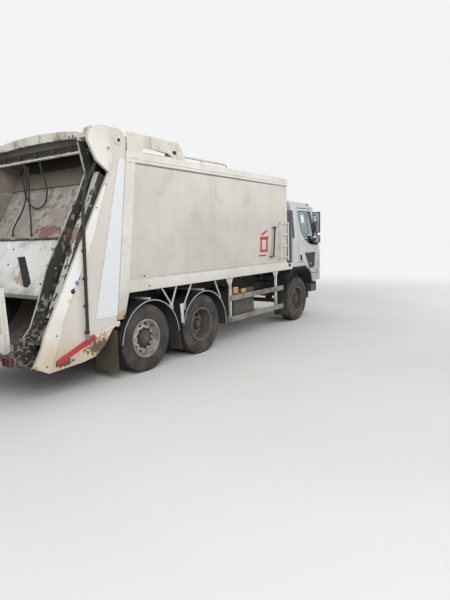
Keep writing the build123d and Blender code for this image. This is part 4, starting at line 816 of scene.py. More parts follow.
@dataclass
class Tyres:
    """Detailed tyres that stand for the plain tyre solids."""

    shop: Workshop
    layout: Layout
    bead_radius: float = 0.2865
    tread_depth: float = 0.014
    pitches: int = 46
    rows: tuple[float, ...] = (-0.098, -0.05, 0.0, 0.05, 0.098)
    row_width: float = 0.040

    def section(self, half: float, kind: Tread) -> list[tuple[float, float]]:
        """The closed section of one tyre, as (offset from its centre plane, radius)."""
        top = self.layout.tyre_radius
        floor = top - self.tread_depth
        crown = [(0.0, floor)]
        if kind is Tread.RIBS:
            crown = [(0.0, top)]
            for groove in (0.024, 0.068):
                crown += [(groove - 0.005, top), (groove - 0.003, floor)]
                crown += [(groove + 0.003, floor), (groove + 0.005, top)]
            crown += [(half - 0.036, top - 0.002)]
        shoulder = [(half - inset, radius) for inset, radius in (
            (0.030, floor), (0.016, top - 0.024), (0.011, 0.474), (0.013, 0.470), (0.005, 0.448),
            (0.001, 0.425), (0.0, 0.400), (0.002, 0.396), (0.004, 0.372), (0.010, 0.345),
            (0.008, 0.340), (0.014, 0.328), (0.022, 0.312), (0.029, 0.303), (0.0285, self.bead_radius),
        )]
        side = crown + shoulder
        return side + [(-offset, radius) for offset, radius in reversed(side[1:])]

    def blocks(self, centre: Point) -> Piece:
        """One pitch of tread blocks, copied round the tyre."""
        top = self.layout.tyre_radius
        length = math.tau * top / self.pitches * 0.74
        row = []
        for index, offset in enumerate(self.rows):
            width = self.row_width + (0.012 if abs(offset) > 0.09 else 0)
            shift = length * 0.22 * (-1 if index % 2 else 1)
            crest = math.sqrt(top ** 2 - (abs(shift) + length / 2) ** 2)
            x, y = centre[0] + shift, centre[1] + offset
            low = (x - length / 2, y - width / 2, centre[2] + top - self.tread_depth - 0.004)
            high = (x + length / 2, y + width / 2, centre[2] + crest)
            row.append(block(low, high, 0))
        return ring_of_copies(joined(row), centre, self.pitches)

    def tyre(self, centre: Point, half: float, kind: Tread) -> Piece:
        """One whole tyre."""
        pieces = [spun(self.section(half, kind), centre)]
        if kind is Tread.BLOCKS:
            pieces.append(self.blocks(centre))
        return joined(pieces)

    def build(self) -> None:
        """All wheels: the steered pair has ribs, the rest blocks."""
        layout = self.layout
        axles = [
            ("front_tyre", "front_wheel", layout.front_x, (1.045,), 0.150, Tread.RIBS),
            ("drive_tyres", "drive_wheel", layout.drive_x, (1.090, 0.756), 0.142, Tread.BLOCKS),
            ("tag_tyre", "tag_wheel", layout.tag_x, (1.070,), 0.150, Tread.BLOCKS),
        ]
        for node, wheel, x, widths, half, kind in axles:
            made = joined([self.tyre((x, -y, layout.axle_z), half, kind) for y in widths])
            for side, piece in zip(SIDES, (made, mirrored(made))):
                self.shop.fit(piece, f"{node}_detail_{side}", "tyre_rubber", f"{side}_{wheel}", "tyre_black")
                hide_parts(f"{node}_{side}")


@dataclass
class WheelFittings:
    """Nuts with their studs, cap bolts and valves on the wheel discs."""

    shop: Workshop
    layout: Layout
    nuts: int = 10
    nut_radius: float = 0.0165
    nut_reach: float = 0.026
    cap_bolts: int = 8

    def nut_ring(self, centre: Point, ring_radius: float, size: float, reach: float, count: int) -> Piece:
        """A circle of hexagon nuts with their studs, standing out to the right."""
        x, y, z = centre
        top = z + ring_radius
        nut = head(x, top, y + 0.002, y - reach, size, 6, 0.002)
        stud = head(x, top, y - reach, y - reach - 0.012, size * 0.5, 10, 0.001)
        washer = head(x, top, y + 0.002, y - 0.005, size * 1.3, 16, 0)
        return ring_of_copies(joined([nut, stud, washer]), centre, count)

    def build(self) -> None:
        """Fit the wheels of each axle."""
        layout = self.layout
        z = layout.axle_z
        # Wheel and its axle; face and nut circle of its disc; face, circle, size and reach of its cap's bolts
        wheels = (
            ("front_wheel", layout.front_x, -1.123, 0.150, -1.131, 0.101, 0.008, 0.006),
            ("drive_wheel", layout.drive_x, -0.941, 0.146, -1.110, 0.062, 0.009, 0.009),
            ("tag_wheel", layout.tag_x, -1.148, 0.150, -1.156, 0.101, 0.008, 0.006),
        )
        for wheel, x, face_y, circle, cap_y, cap_circle, size, reach in wheels:
            body = "{side}_" + wheel
            disc_nuts = self.nut_ring((x, face_y, z), circle, self.nut_radius, self.nut_reach, self.nuts)
            self.shop.fit_both(disc_nuts, f"{wheel}_nuts", "wheel_nuts", body, "cast_steel")
            cap_ring = self.nut_ring((x, cap_y, z), cap_circle, size, reach, self.cap_bolts)
            self.shop.fit_both(cap_ring, f"{wheel}_cap_bolts", "wheel_nuts", body, "cast_steel")
            bends = ((0.03, 0.262), (0.0, 0.250), (-0.03, 0.228))
            stem = tube([(x, face_y + inward, z - drop) for inward, drop in bends], 0.005)
            self.shop.fit_both(stem, f"{wheel}_valve", "bright_metal", body, "cast_steel")


@dataclass
class TailgateFittings:
    """Marks, bolts, unions and plates on the tailgate's walls and top beam."""

    shop: Workshop
    layout: Layout
    panel_y: float = -1.235
    band_y: float = -1.250

    def at(self, x: float, z: float, y: float) -> Point:
        """A place given ahead of the tag axle."""
        return (self.layout.tag_x + x, y, z)

    def stud(self, x: float, z: float, radius: float, reach: float, sides: int = 24) -> Piece:
        """A short round or many-sided head that stands out of the wall."""
        return head(self.layout.tag_x + x, z, self.panel_y + 0.002, self.band_y - reach, radius, sides)

    def sign(self, corners: Corners, thick: float, edge: float) -> Piece:
        """A flat sign that stands just proud of the raised band."""
        return upright(corners, self.band_y - 0.0035, thick, edge, self.layout.tag_x)

    def marks(self) -> None:
        """Red reflector strip, blue discs, plugged hole and a plain yellow triangle."""
        strip = self.sign(((-1.662, 0.534), (-1.045, 0.770), (-1.005, 0.706), (-1.648, 0.470)), 0.020, 0.002)
        self.shop.fit_both(strip, "reflector_strip", "mark_red", "tailgate", "lamp_red")
        discs = joined([self.stud(-1.277, 1.487, 0.030, 0.0025), self.stud(-1.233, 1.542, 0.014, 0.0025)])
        self.shop.fit_both(discs, "blue_discs", "disc_blue", "tailgate", "plastic_black")
        hole = joined([self.stud(-1.348, 1.384, 0.034, 0.001), self.stud(-1.325, 1.423, 0.010, 0.001)])
        self.shop.fit_both(hole, "plugged_hole", "black_and_hole_shade", "tailgate", "plastic_black")
        triangle = self.sign(((-1.448, 1.248), (-1.374, 1.248), (-1.411, 1.312)), 0.012, 0.001)
        self.shop.fit_both(triangle, "yellow_sign", "sign_yellow", "tailgate", "plastic_black")

    def bolts(self) -> None:
        """Bolt heads of the walls and of the peeling channel, and the hinge's rings and nuts."""
        heads = [self.stud(x, z, 0.011, 0.006, 6) for x, z in (
            (-1.632, 0.855), (-1.955, 0.522), (-1.805, 0.499), (-0.700, 2.780), (-0.880, 2.460),
        )]
        guide, y = self.layout.guide, -1.145
        heads += [bolt(guide(along, inward + 0.004, y), guide(along, inward - 0.009, y))
                  for along, inward in ((0.60, -0.049), (0.85, -0.0465), (1.10, -0.0225), (1.45, 0.0205))]
        heads += [self.stud(-0.627, 3.263, 0.013, 0.016, 6), self.stud(-0.437, 3.395, 0.026, 0.020, 6)]
        self.shop.fit_both(joined(heads), "tailgate_bolts", "wheel_nuts", "tailgate", "cast_steel")
        rings = [rod(self.at(x, z, self.panel_y), self.at(x, z, self.band_y - 0.006), radius, 28, 0.002)
                 for x, z, radius in ((-0.627, 3.263, 0.024), (-0.437, 3.395, 0.052))]
        knob = self.stud(-0.616, 0.845, 0.042, 0.004), self.stud(-0.616, 0.845, 0.016, 0.020, 12)
        self.shop.fit_both(joined([*rings, *knob]), "hinge_rings", "bracket_paint", "tailgate", "tail_white")

    def unions(self) -> None:
        """Bright unions at the foot of the side hose."""
        x, y = -1.177, -1.276
        pieces = [
            bolt(self.at(x, 0.800, y), self.at(x, 0.752, y), 0.029, 0.002),
            rod(self.at(x, 0.752, y), self.at(x, 0.722, y), 0.018, 16),
            rod(self.at(x, 0.735, y), self.at(-1.150, 0.724, -1.248), 0.012, 12),
        ]
        self.shop.fit_both(joined(pieces), "hose_union", "bright_metal", "tailgate", "cast_steel")

    def beam(self) -> None:
        """Pipes with clips on the apron under the top beam, and the beam's bolts."""
        rear = self.layout.tag_x - 0.95
        pipes = [
            tube([(rear + 0.062, -0.98, z), (rear + 0.060, -0.3, z + 0.012), (rear + 0.062, 0.4, z + 0.014),
                  (rear + 0.062, 0.98, z)], radius)
            for z, radius in ((3.262, 0.012), (3.296, 0.010))
        ]
        self.shop.fit(joined(pipes), "beam_pipes", "hose_rubber", "tailgate", "plastic_black")
        clips = [block((rear + 0.050, y - 0.02, 3.246), (rear + 0.092, y + 0.02, 3.322), 0.003)
                 for y in (-0.8, -0.4, 0.0, 0.4, 0.8)]
        self.shop.fit(joined(clips), "beam_clips", "frame_paint", "tailgate", "cast_steel")
        ends = [bolt((rear - 0.007, y, 3.41), (rear + 0.004, y, 3.41), 0.014, 0.002)
                for y in (-0.94, -0.86, 0.86, 0.94)]
        self.shop.fit(joined(ends), "beam_bolts", "wheel_nuts", "tailgate", "cast_steel")

    def lamps(self) -> None:
        """Ribs round the tail lamps' lenses, their cables, and the blank rear plate."""
        x = self.layout.tag_x - 2.243
        rims = [block((x - 0.004, -1.190, z), (x + 0.010, -1.020, z + 0.010), 0.002) for z in (0.582, 0.678)]
        rims += [block((x - 0.004, y - 0.004, 0.586), (x + 0.010, y + 0.004, 0.684), 0.002)
                 for y in (-1.187, -1.105, -1.023)]
        rims.append(tube([(x + 0.05, -1.08, 0.684), (x + 0.05, -1.08, 0.73), (x + 0.12, -1.07, 0.74),
                          (x + 0.26, -1.06, 0.70)], 0.009))
        self.shop.fit_both(joined(rims), "tail_lamp_rims", "black_moulding", "tailgate", "plastic_black")
        lip = self.layout.tag_x - 2.105
        plate = block((lip - 0.0045, -0.26, 0.695), (lip + 0.001, 0.26, 0.790), 0.002)
        self.shop.fit(plate, "rear_plate", "plate_white", "tailgate", "tail_white")

    def build(self) -> None:
        """Fit all of them."""
        self.marks()
        self.bolts()
        self.unions()
        self.beam()
        self.lamps()


@dataclass
class HopperFittings:
    """Fittings in the loading mouth: ribs on the carriage, the blade's ears and bolts, and the lip's bar."""

    shop: Workshop
    layout: Layout

    def rib(self, first: float, last: float, root: float, y: float, width: float) -> Piece:
        """A bar on the carriage's rear face, from one distance along the guide to another."""
        corners = ((first, root), (first, 0.061), (last, 0.061), (last, root))
        points = [self.layout.guide(along, inward, y) for along, inward in corners]
        return outline(points, (0, width, 0), 0.002)

    def carriage(self) -> None:
        """Ribs on the carriage's rear face, and nuts where its hoses leave."""
        ribs = [self.rib(0.16, 0.90, 0.045, y, 0.012) for y in (-0.62, 0.62)]
        ribs.append(self.rib(0.135, 0.150, 0.052, -0.95, 1.90))
        self.shop.fit(joined(ribs), "carriage_ribs", "carriage_steel", "packer_carriage", "hopper_steel")
        x = self.layout.tag_x - 1.10
        nuts = [bolt((x, y, 2.111), (x, y, 2.150), 0.019, 0.002) for y in (-0.08, 0.385)]
        self.shop.fit(joined(nuts), "hose_nuts", "wheel_nuts", "packer_carriage", "cast_steel")

    def blade_face(self, ahead: float, z: float) -> float:
        """Where the blade's leaning rear face lies at one height, moved ahead of the tag axle."""
        return self.layout.tag_x + ahead - (1.995 - z) * 0.4788

    def blade(self) -> None:
        """The blade's slot with a black plate of painted shade in it, ears over its hinge, and bolts round
        the slot.
        """
        rim = ((0.147, 1.807), (-0.042, 1.821), (-0.397, 1.467), (-0.350, 1.400), (-0.245, 1.408))
        # Painted shade: a black plate at the bottom of the slot's recess
        slot = outline([(self.blade_face(-1.106, z), y * 0.985, z) for y, z in rim], (-0.006, 0, 0), 0)
        self.shop.fit(slot, "blade_slot_shade", "black_and_hole_shade", "blade", "hopper_steel")
        corners = ((-1.118, 2.040), (-1.040, 2.040), (-1.030, 1.960), (-1.150, 1.900), (-1.165, 1.960))
        ears = [upright(corners, y, 0.035, 0.004, self.layout.tag_x) for y in (-0.90, -0.50, 0.46, 0.86)]
        self.shop.fit(joined(ears), "blade_ears", "blade_paint", "blade", "tail_white")
        bolts = []
        for y, z in ((0.30, 1.70), (-0.62, 1.70), (-0.62, 1.46), (0.52, 1.46), (0.30, 1.92), (-0.62, 1.92)):
            face = self.blade_face(-1.122, z)
            bolts.append(bolt((face + 0.010, y, z), (face - 0.010, y, z + 0.005), 0.012))
        self.shop.fit(joined(bolts), "blade_bolts", "wheel_nuts", "blade", "cast_steel")

    def build(self) -> None:
        """Fit all of them."""
        self.carriage()
        self.blade()
        x = self.layout.tag_x
        bar = block((x - 2.112, -0.92, 0.792), (x - 2.060, 0.92, 0.806), 0.004)
        self.shop.fit(bar, "lip_wear_bar", "bright_metal", "tailgate", "hopper_steel")


@dataclass
class BodyFittings:
    """Plain red mark, broom, holes, bolts and roof rails of the container, and ribs on its front wall."""

    shop: Workshop
    layout: Layout
    panel_y: float = -1.214
    bulge: float = 0.018
    panel_middle: float = 2.2825
    panel_half: float = 0.8325
    roof_z: float = 3.325
    rail_z: float = 3.448

    def skin(self, z: float) -> float:
        """Where the right side panel lies at one height."""
        return self.panel_y - self.bulge * (1 - ((z - self.panel_middle) / self.panel_half) ** 2)

    def side_plate(self, corners: Corners, proud: float = 0.002) -> Piece:
        """A thin plate that follows the bulge of the side panel; corners are X and Z."""
        return outline([(x, self.skin(z) - proud, z) for x, z in corners], (0, 0.006, 0), 0.0008)

    def mark(self) -> None:
        """A plain red outline of a bin with its lid up, over a short bar."""
        pieces = [self.side_plate(corners) for corners in (
            ((1.42, 1.955), (1.76, 1.955), (1.76, 2.025), (1.42, 2.025)),
            ((1.43, 1.70), (1.74, 1.70), (1.74, 1.75), (1.43, 1.75)),
            ((1.43, 1.75), (1.50, 1.75), (1.50, 1.955), (1.43, 1.955)),
            ((1.67, 1.75), (1.74, 1.75), (1.74, 1.955), (1.67, 1.955)),
            ((1.44, 2.055), (1.56, 2.055), (1.76, 2.155), (1.64, 2.155)),
            ((1.38, 1.615), (1.69, 1.615), (1.69, 1.645), (1.38, 1.645)),
        )]
        self.shop.fit(joined(pieces), "side_mark", "mark_red", "chassis", "body_white")

    def broom(self) -> None:
        """Broom and the hook that holds it, behind the ladder."""
        pole = [block((1.904, -1.275, 2.196), (2.081, -1.262, 2.222), 0.003),
                block((2.010, -1.264, 2.196), (2.036, self.skin(2.2) + 0.001, 2.222), 0.003),
                rod((2.014, -1.262, 2.235), (1.936, -1.262, 1.600), 0.017, 12)]
        self.shop.fit(joined(pole), "broom_pole", "frame_paint", "chassis", "cast_steel")
        foot = block((1.824, -1.285, 1.575), (1.985, -1.222, 1.606), 0.006)
        self.shop.fit(foot, "broom_head", "knob_green", "chassis", "plastic_black")

    def holes(self) -> None:
        """Black discs and a block of painted shade for the drain holes, the socket at the sill's front end
        and the oval hole of each cover; then bolts.
        """
        x = self.layout.tag_x
        # Painted shade: flat black discs and a block where the holes are
        dark = [head(x + ahead, z, inner, outer, 0.014, 16, 0)
                for ahead, z, inner, outer in ((-0.008, 1.477, -1.2145, -1.2165),
                                               (0.074, 1.324, -1.239, -1.2412))]
        dark += [head(x + ahead, 3.372, -1.244, -1.2462, 0.030, 24, 0) for ahead in (0.745, 0.775)]
        dark.append(block((2.675, -1.2425, 1.322), (2.790, -1.238, 1.392), 0.002))
        self.shop.fit_both(joined(dark), "body_hole_shades", "black_and_hole_shade", "chassis", "plastic_black")
        bolts = [head(x + ahead, z, -1.244, -1.253)
                 for ahead, z in ((-0.20, 3.500), (-0.20, 3.320), (0.64, 3.49), (0.90, 3.31))]
        bolts += [head(x + ahead, z, -1.249, -1.257)
                  for ahead, z in ((-0.16, 3.20), (-0.29, 2.30), (-0.43, 1.20))]
        self.shop.fit_both(joined(bolts), "body_bolts", "bracket_paint", "chassis", "body_white")

    def roof(self) -> None:
        """Two pipe rails along the roof."""
        x, low, top = self.layout.tag_x, self.roof_z, self.rail_z
        bends = ((1.25, low), (1.25, top - 0.035), (1.26, top - 0.008), (1.29, top), (2.07, top),
                 (2.82, top), (2.85, top - 0.008), (2.86, top - 0.035), (2.86, low))
        rails = []
        for y in (-0.80, 0.80):
            rails.append(tube([(x + ahead, y, z) for ahead, z in bends], 0.017, 6))
            rails.append(rod((x + 2.05, y, low), (x + 2.05, y, top), 0.014, 12))
        self.shop.fit(joined(rails), "roof_rails", "bracket_paint", "chassis", "cast_steel")

    def front(self) -> None:
        """Stiffening ribs down the container's front wall."""
        ribs = [block((2.629, y - 0.04, 1.42), (2.652, y + 0.04, 3.18), 0.004)
                for y in (-0.75, -0.25, 0.25, 0.75)]
        self.shop.fit(joined(ribs), "front_ribs", "body_paint", "chassis", "body_white")

    def build(self) -> None:
        """Fit all of them."""
        self.mark()
        self.broom()
        self.holes()
        self.roof()
        self.front()


@dataclass
class GuardFittings:
    """Side lamps, the mudguards' pale edges and the bolts of the guard rails."""

    shop: Workshop
    layout: Layout
    rim_y: float = -1.2445
    rim_z: float = 0.47
    rim_radius: float = 0.634
    rim_ahead: float = 0.095
    arc_steps: int = 12

    def arc(self, axle_x: float, first: float, last: float) -> Piece:
        """The pale edge round one mudguard's outer rim, between two angles."""
        points = []
        for step in range(self.arc_steps + 1):
            angle = math.radians(first + (last - first) * step / self.arc_steps)
            x = axle_x + self.rim_ahead + self.rim_radius * math.cos(angle)
            points.append((x, self.rim_y, self.rim_z + self.rim_radius * math.sin(angle)))
        return tube(points, 0.0055, 4)

    def build(self) -> None:
        """Fit all of them."""
        x = self.layout.tag_x
        corners = ((0.772, 0.955), (0.864, 0.955), (0.856, 0.630), (0.800, 0.630))
        tab = upright(corners, -1.243, 0.008, 0.002, x)
        edges = [self.arc(x, 5, 176), self.arc(self.layout.drive_x, -5, 169), tab]
        self.shop.fit_both(joined(edges), "guard_edges", "white_edge", "chassis", "plastic_black")
        steel = [block((x + 2.33, -1.205, 0.925), (x + 2.86, -1.190, 0.945), 0.002)]
        steel += [head(x + ahead, z, -1.238, -1.248, 0.012) for ahead in (2.32, 4.125) for z in (0.46, 0.87)]
        self.shop.fit_both(joined(steel), "guard_bolts", "guard_steel", "chassis", "cast_steel")
        lamp = block((x + 2.40, -1.232, 0.945), (x + 2.55, -1.192, 1.070), 0.012)
        reflector = block((x + 2.68, -1.225, 0.935), (x + 2.84, -1.195, 1.012), 0.010)
        self.shop.fit_both(lamp, "side_lamp", "lamp_orange", "chassis", "lamp_red")
        self.shop.fit_both(reflector, "side_reflector", "lamp_tan", "chassis", "lamp_red")


@dataclass
class CabFittings:
    """Seals, handles, wipers, grille slots, corner pieces, lamps and plates of the cab."""

    shop: Workshop
    layout: Layout
    side_y: float = -1.240
    bend_z: float = 1.95
    side_lean: float = 0.0867
    grille_rows: tuple[float, ...] = (1.08, 1.18, 1.28, 1.47)

    def skin(self, z: float) -> float:
        """Where the cab's right side lies at one height."""
        return self.side_y + max(0.0, z - self.bend_z) * self.side_lean

    def window(self, corners: Corners) -> list[Piece]:
        """A rubber seal round a side window; corners are given ahead of the front axle."""
        return seal([(self.layout.front_x + ahead, self.skin(z) - 0.001, z) for ahead, z in corners], 0.009)

    def doors(self) -> None:
        """Window seals and handles on the doors."""
        seals = self.window((
            (0.030, 2.600), (0.680, 2.600), (0.800, 2.300), (0.885, 1.960), (0.885, 1.815),
            (0.760, 1.796), (0.530, 1.838), (0.305, 1.940), (0.140, 2.110), (0.062, 2.390),
        ))
        seals += self.window(((0.325, 1.600), (0.900, 1.600), (0.870, 1.280), (0.765, 1.225), (0.556, 1.240)))
        self.shop.fit_both(joined(seals), "window_seals", "black_moulding", "{side}_door", "plastic_black")
        x, grip_y = self.layout.front_x, -1.256
        plate = ((0.050, 1.575), (0.130, 1.575), (0.185, 1.430), (0.075, 1.430))
        handle = [upright(plate, -1.2425, 0.010, 0.002, x),
                  rod((x + 0.068, grip_y, 1.560), (x + 0.105, grip_y, 1.445), 0.010, 10)]
        handle += [head(x + ahead, z, grip_y, -1.238, 0.008, 10, 0.002)
                   for ahead, z in ((0.068, 1.560), (0.105, 1.445))]
        self.shop.fit_both(joined(handle), "door_handle", "black_and_hole_shade", "{side}_door", "plastic_black")

    def mirrors(self) -> None:
        """Glass in the mirror heads."""
        x = self.layout.front_x + 0.712
        glass = joined([block((x - 0.003, -1.418, low), (x + 0.001, -1.270, high), 0.001)
                        for low, high in ((2.105, 2.575), (1.860, 2.015))])
        self.shop.fit_both(glass, "mirror_faces", "mirror_glass", "{side}_door", "bar_chrome")

    def screen(self) -> None:
        """Windscreen seal and wipers."""
        def lay(y: float, z: float, off: float) -> Point:
            """A point on the windscreen's plane, a little way off it."""
            return (4.375 - (z - 1.92) * 0.3544 + off * 0.943, y, z + off * 0.334)

        corners = ((-1.12, 2.0), (1.12, 2.0), (1.06, 2.64), (-1.06, 2.64))
        bars = seal([lay(y, z, 0.001) for y, z in corners], 0.010)
        for y in (-0.75, 0.1):
            bars.append(rod(lay(y, 1.955, 0.022), lay(y + 0.42, 2.20, 0.022), 0.009, 10))
            bars.append(rod(lay(y + 0.20, 2.04, 0.012), lay(y + 0.62, 2.37, 0.012), 0.006, 8))
            bars.append(rod(lay(y, 1.955, -0.01), lay(y, 1.955, 0.032), 0.018, 12))
        self.shop.fit(joined(bars), "screen_seal_and_wipers", "black_moulding", "cab", "plastic_black")

    def front(self) -> None:
        """Dark slots and bars of the grille, corner strips, covers and vents, and marker lamps."""
        slots = [block((4.3855, -0.716, z - 0.027), (4.3885, 0.716, z + 0.027), 0) for z in self.grille_rows]
        slots += [rod((4.396, y, z - 0.028), (4.396, y, z + 0.028), 0.006, 8, 0)
                  for z in self.grille_rows for y in (-0.48, -0.24, 0.0, 0.24, 0.48)]
        self.shop.fit(joined(slots), "grille_backing", "black_and_hole_shade", "cab", "plastic_black")
        strip = ((4.330, 1.765), (4.384, 1.765), (4.400, 1.110), (4.330, 1.110))
        corner = upright(strip, -1.2435, 0.006, 0.0015)
        self.shop.fit_both(corner, "corner_strip", "white_edge", "cab", "cab_white")
        cover = outline([(2.883, -1.2413, 1.975), (2.985, -1.2413, 1.975), (2.985, -1.1860, 2.612),
                         (2.883, -1.1860, 2.612)], (0, 0.006, 0), 0.0015)
        self.shop.fit_both(cover, "corner_cover", "grey_duct", "cab", "plastic_black")
        vent = block((4.352, -1.2455, 1.20), (4.368, -1.241, 1.64), 0.001)
        self.shop.fit_both(vent, "corner_vent", "black_and_hole_shade", "cab", "plastic_black")
        markers = joined([block((3.86, -1.150, 2.755), (3.93, -1.110, 2.800), 0.008),
                          block((4.405, -1.150, 1.660), (4.4185, -1.050, 1.720), 0.004)])
        self.shop.fit_both(markers, "cab_markers", "lamp_orange", "cab", "lamp_red")

    def bumper(self) -> None:
        """Reflectors in the headlamps, step treads and the blank front plate."""
        bowls = []
        for y in (-0.875, -0.745):
            bowls.append(rod((4.533, y, 0.735), (4.540, y, 0.735), 0.055, 28, 0.001))
            bowls.append(rod((4.540, y, 0.735), (4.562, y, 0.735), 0.016, 16, 0.004))
        self.shop.fit_both(joined(bowls), "headlamp_bowls", "chromed_bar", "chassis", "cast_steel")
        treads = [block((3.90 + 0.045 * index, -1.225, 0.811), (3.92 + 0.045 * index, -1.075, 0.818), 0.002)
                  for index in range(5)]
        self.shop.fit_both(joined(treads), "step_treads", "guard_steel", "chassis", "cast_steel")
        plate = block((4.589, -0.26, 0.645), (4.594, 0.26, 0.705), 0.002)
        self.shop.fit(plate, "front_plate", "plate_white", "chassis", "body_white")

    def build(self) -> None:
        """Fit all of them."""
        self.doors()
        self.mirrors()
        self.screen()
        self.front()
        self.bumper()


@dataclass
class ChassisFittings:
    """Bolts along the frame rails."""

    shop: Workshop
    layout: Layout
    pairs: int = 22
    pitch: float = 0.27

    def build(self) -> None:
        """Fit them."""
        start = self.layout.tag_x + 0.1
        bolts = [head(start + index * self.pitch, z, -0.424, -0.434, edge=0)
                 for index in range(self.pairs) for z in (1.02, 0.83)]
        self.shop.fit_both(joined(bolts), "frame_bolts", "axle_iron", "chassis", "cast_steel")


@dataclass
class Studio:
    """Plain floor, soft light and the camera."""

    layout: Layout
    eye: Point = (-7.3007, -6.3763, 2.03)
    heading: float = 34.82
    pitch: float = 7.39
    roll: float = -0.0236
    lens: float = 29.07
    floor_tone: Colour = tone(232, 231, 228)
    backdrop: Colour = (0.9, 0.905, 0.91)
    world_colour: Colour = (0.93, 0.96, 1.0)
    world_strength: float = 0.6
    fade: tuple[float, float] = (6.5, 17.0)

    def camera(self) -> None:
        """The camera stands behind the truck's right rear corner."""
        heading, pitch = math.radians(self.heading), math.radians(self.pitch)
        level_share = math.cos(pitch)
        look = Vector((level_share * math.cos(heading), level_share * math.sin(heading), -math.sin(pitch)))
        level = Vector((math.sin(heading), -math.cos(heading), 0))
        up = level.cross(look)
        right = level * math.cos(self.roll) + up * math.sin(self.roll)
        top = up * math.cos(self.roll) - level * math.sin(self.roll)
        data = bpy.data.cameras.new("camera")
        data.lens = self.lens
        data.sensor_width = 36
        made = bpy.data.objects.new("camera", data)
        bpy.context.scene.collection.objects.link(made)
        turn = Matrix((right, top, -look)).transposed().to_4x4()
        made.matrix_world = Matrix.Translation(self.eye) @ turn
        bpy.context.scene.camera = made

    def world(self) -> None:
        """Even pale light, seen as a plain pale background."""
        world = bpy.data.worlds.new("studio")
        bpy.context.scene.world = world
        world.use_nodes = True
        tree = world.node_tree
        tree.nodes.clear()
        rays = add_node(tree, "ShaderNodeLightPath").outputs
        seen = rays["Is Camera Ray"]
        for ray in ("Is Transmission Ray", "Is Glossy Ray"):
            either = add_node(tree, "ShaderNodeMath", {"operation": "MAXIMUM"}, {0: seen, 1: rays[ray]})
            seen = either.outputs[0]
        light = add_node(tree, "ShaderNodeBackground",
                         inputs={"Color": self.world_colour, "Strength": self.world_strength})
        backdrop = add_node(tree, "ShaderNodeBackground", inputs={"Color": self.backdrop})
        mix = add_node(tree, "ShaderNodeMixShader",
                       inputs={0: seen, 1: light.outputs[0], 2: backdrop.outputs[0]})
        add_node(tree, "ShaderNodeOutputWorld", inputs={0: mix.outputs[0]})

    def lamp(self, name: str, place: Point, aim: Point, size: float, power: float) -> None:
        """One soft square lamp."""
        data = bpy.data.lights.new(name, "AREA")
        data.size = size
        data.energy = power
        made = bpy.data.objects.new(name, data)
        bpy.context.scene.collection.objects.link(made)
        made.location = place
        made.rotation_euler = (Vector(aim) - Vector(place)).to_track_quat("-Z", "Y").to_euler()

    def build(self) -> None:
        """Set up the whole studio."""
        bpy.context.scene.view_settings.view_transform = "Standard"
        self.camera()
        self.world()
        self.lamp("key_lamp", (-9, -9, 7.5), (-1, 0, 1.5), 6, 720)
        self.lamp("fill_lamp", (9, -8, 6), (3, 0, 1.5), 6, 330)
        deselect()
        bpy.ops.mesh.primitive_plane_add(size=160, location=(0, 0, 0))
        floor = bpy.context.active_object
        floor.name = "floor"
        floor.data.materials.append(self.floor_finish())

    def floor_finish(self) -> Material:
        """Pale floor that fades into the backdrop far from the truck, for the camera only."""
        shader = Shader("floor_plain")
        shade = shader.blend(shader.noise(0.4, 4), self.floor_tone, tone(218, 216, 212))
        material = shader.finish(shade, 0.85)
        seen = Socket(shader, shader.node("ShaderNodeLightPath").outputs["Is Camera Ray"])
        glow = shader.node("ShaderNodeEmission", inputs={"Color": self.backdrop, "Strength": 1.0})
        share = shader.length(shader.place).rise(*self.fade) * seen
        mix = shader.node("ShaderNodeMixShader",
                          inputs={0: share, 1: shader.surface.outputs[0], 2: glow.outputs[0]})
        plug(shader.tree, mix.outputs[0], shader.end.inputs["Surface"])
        return material


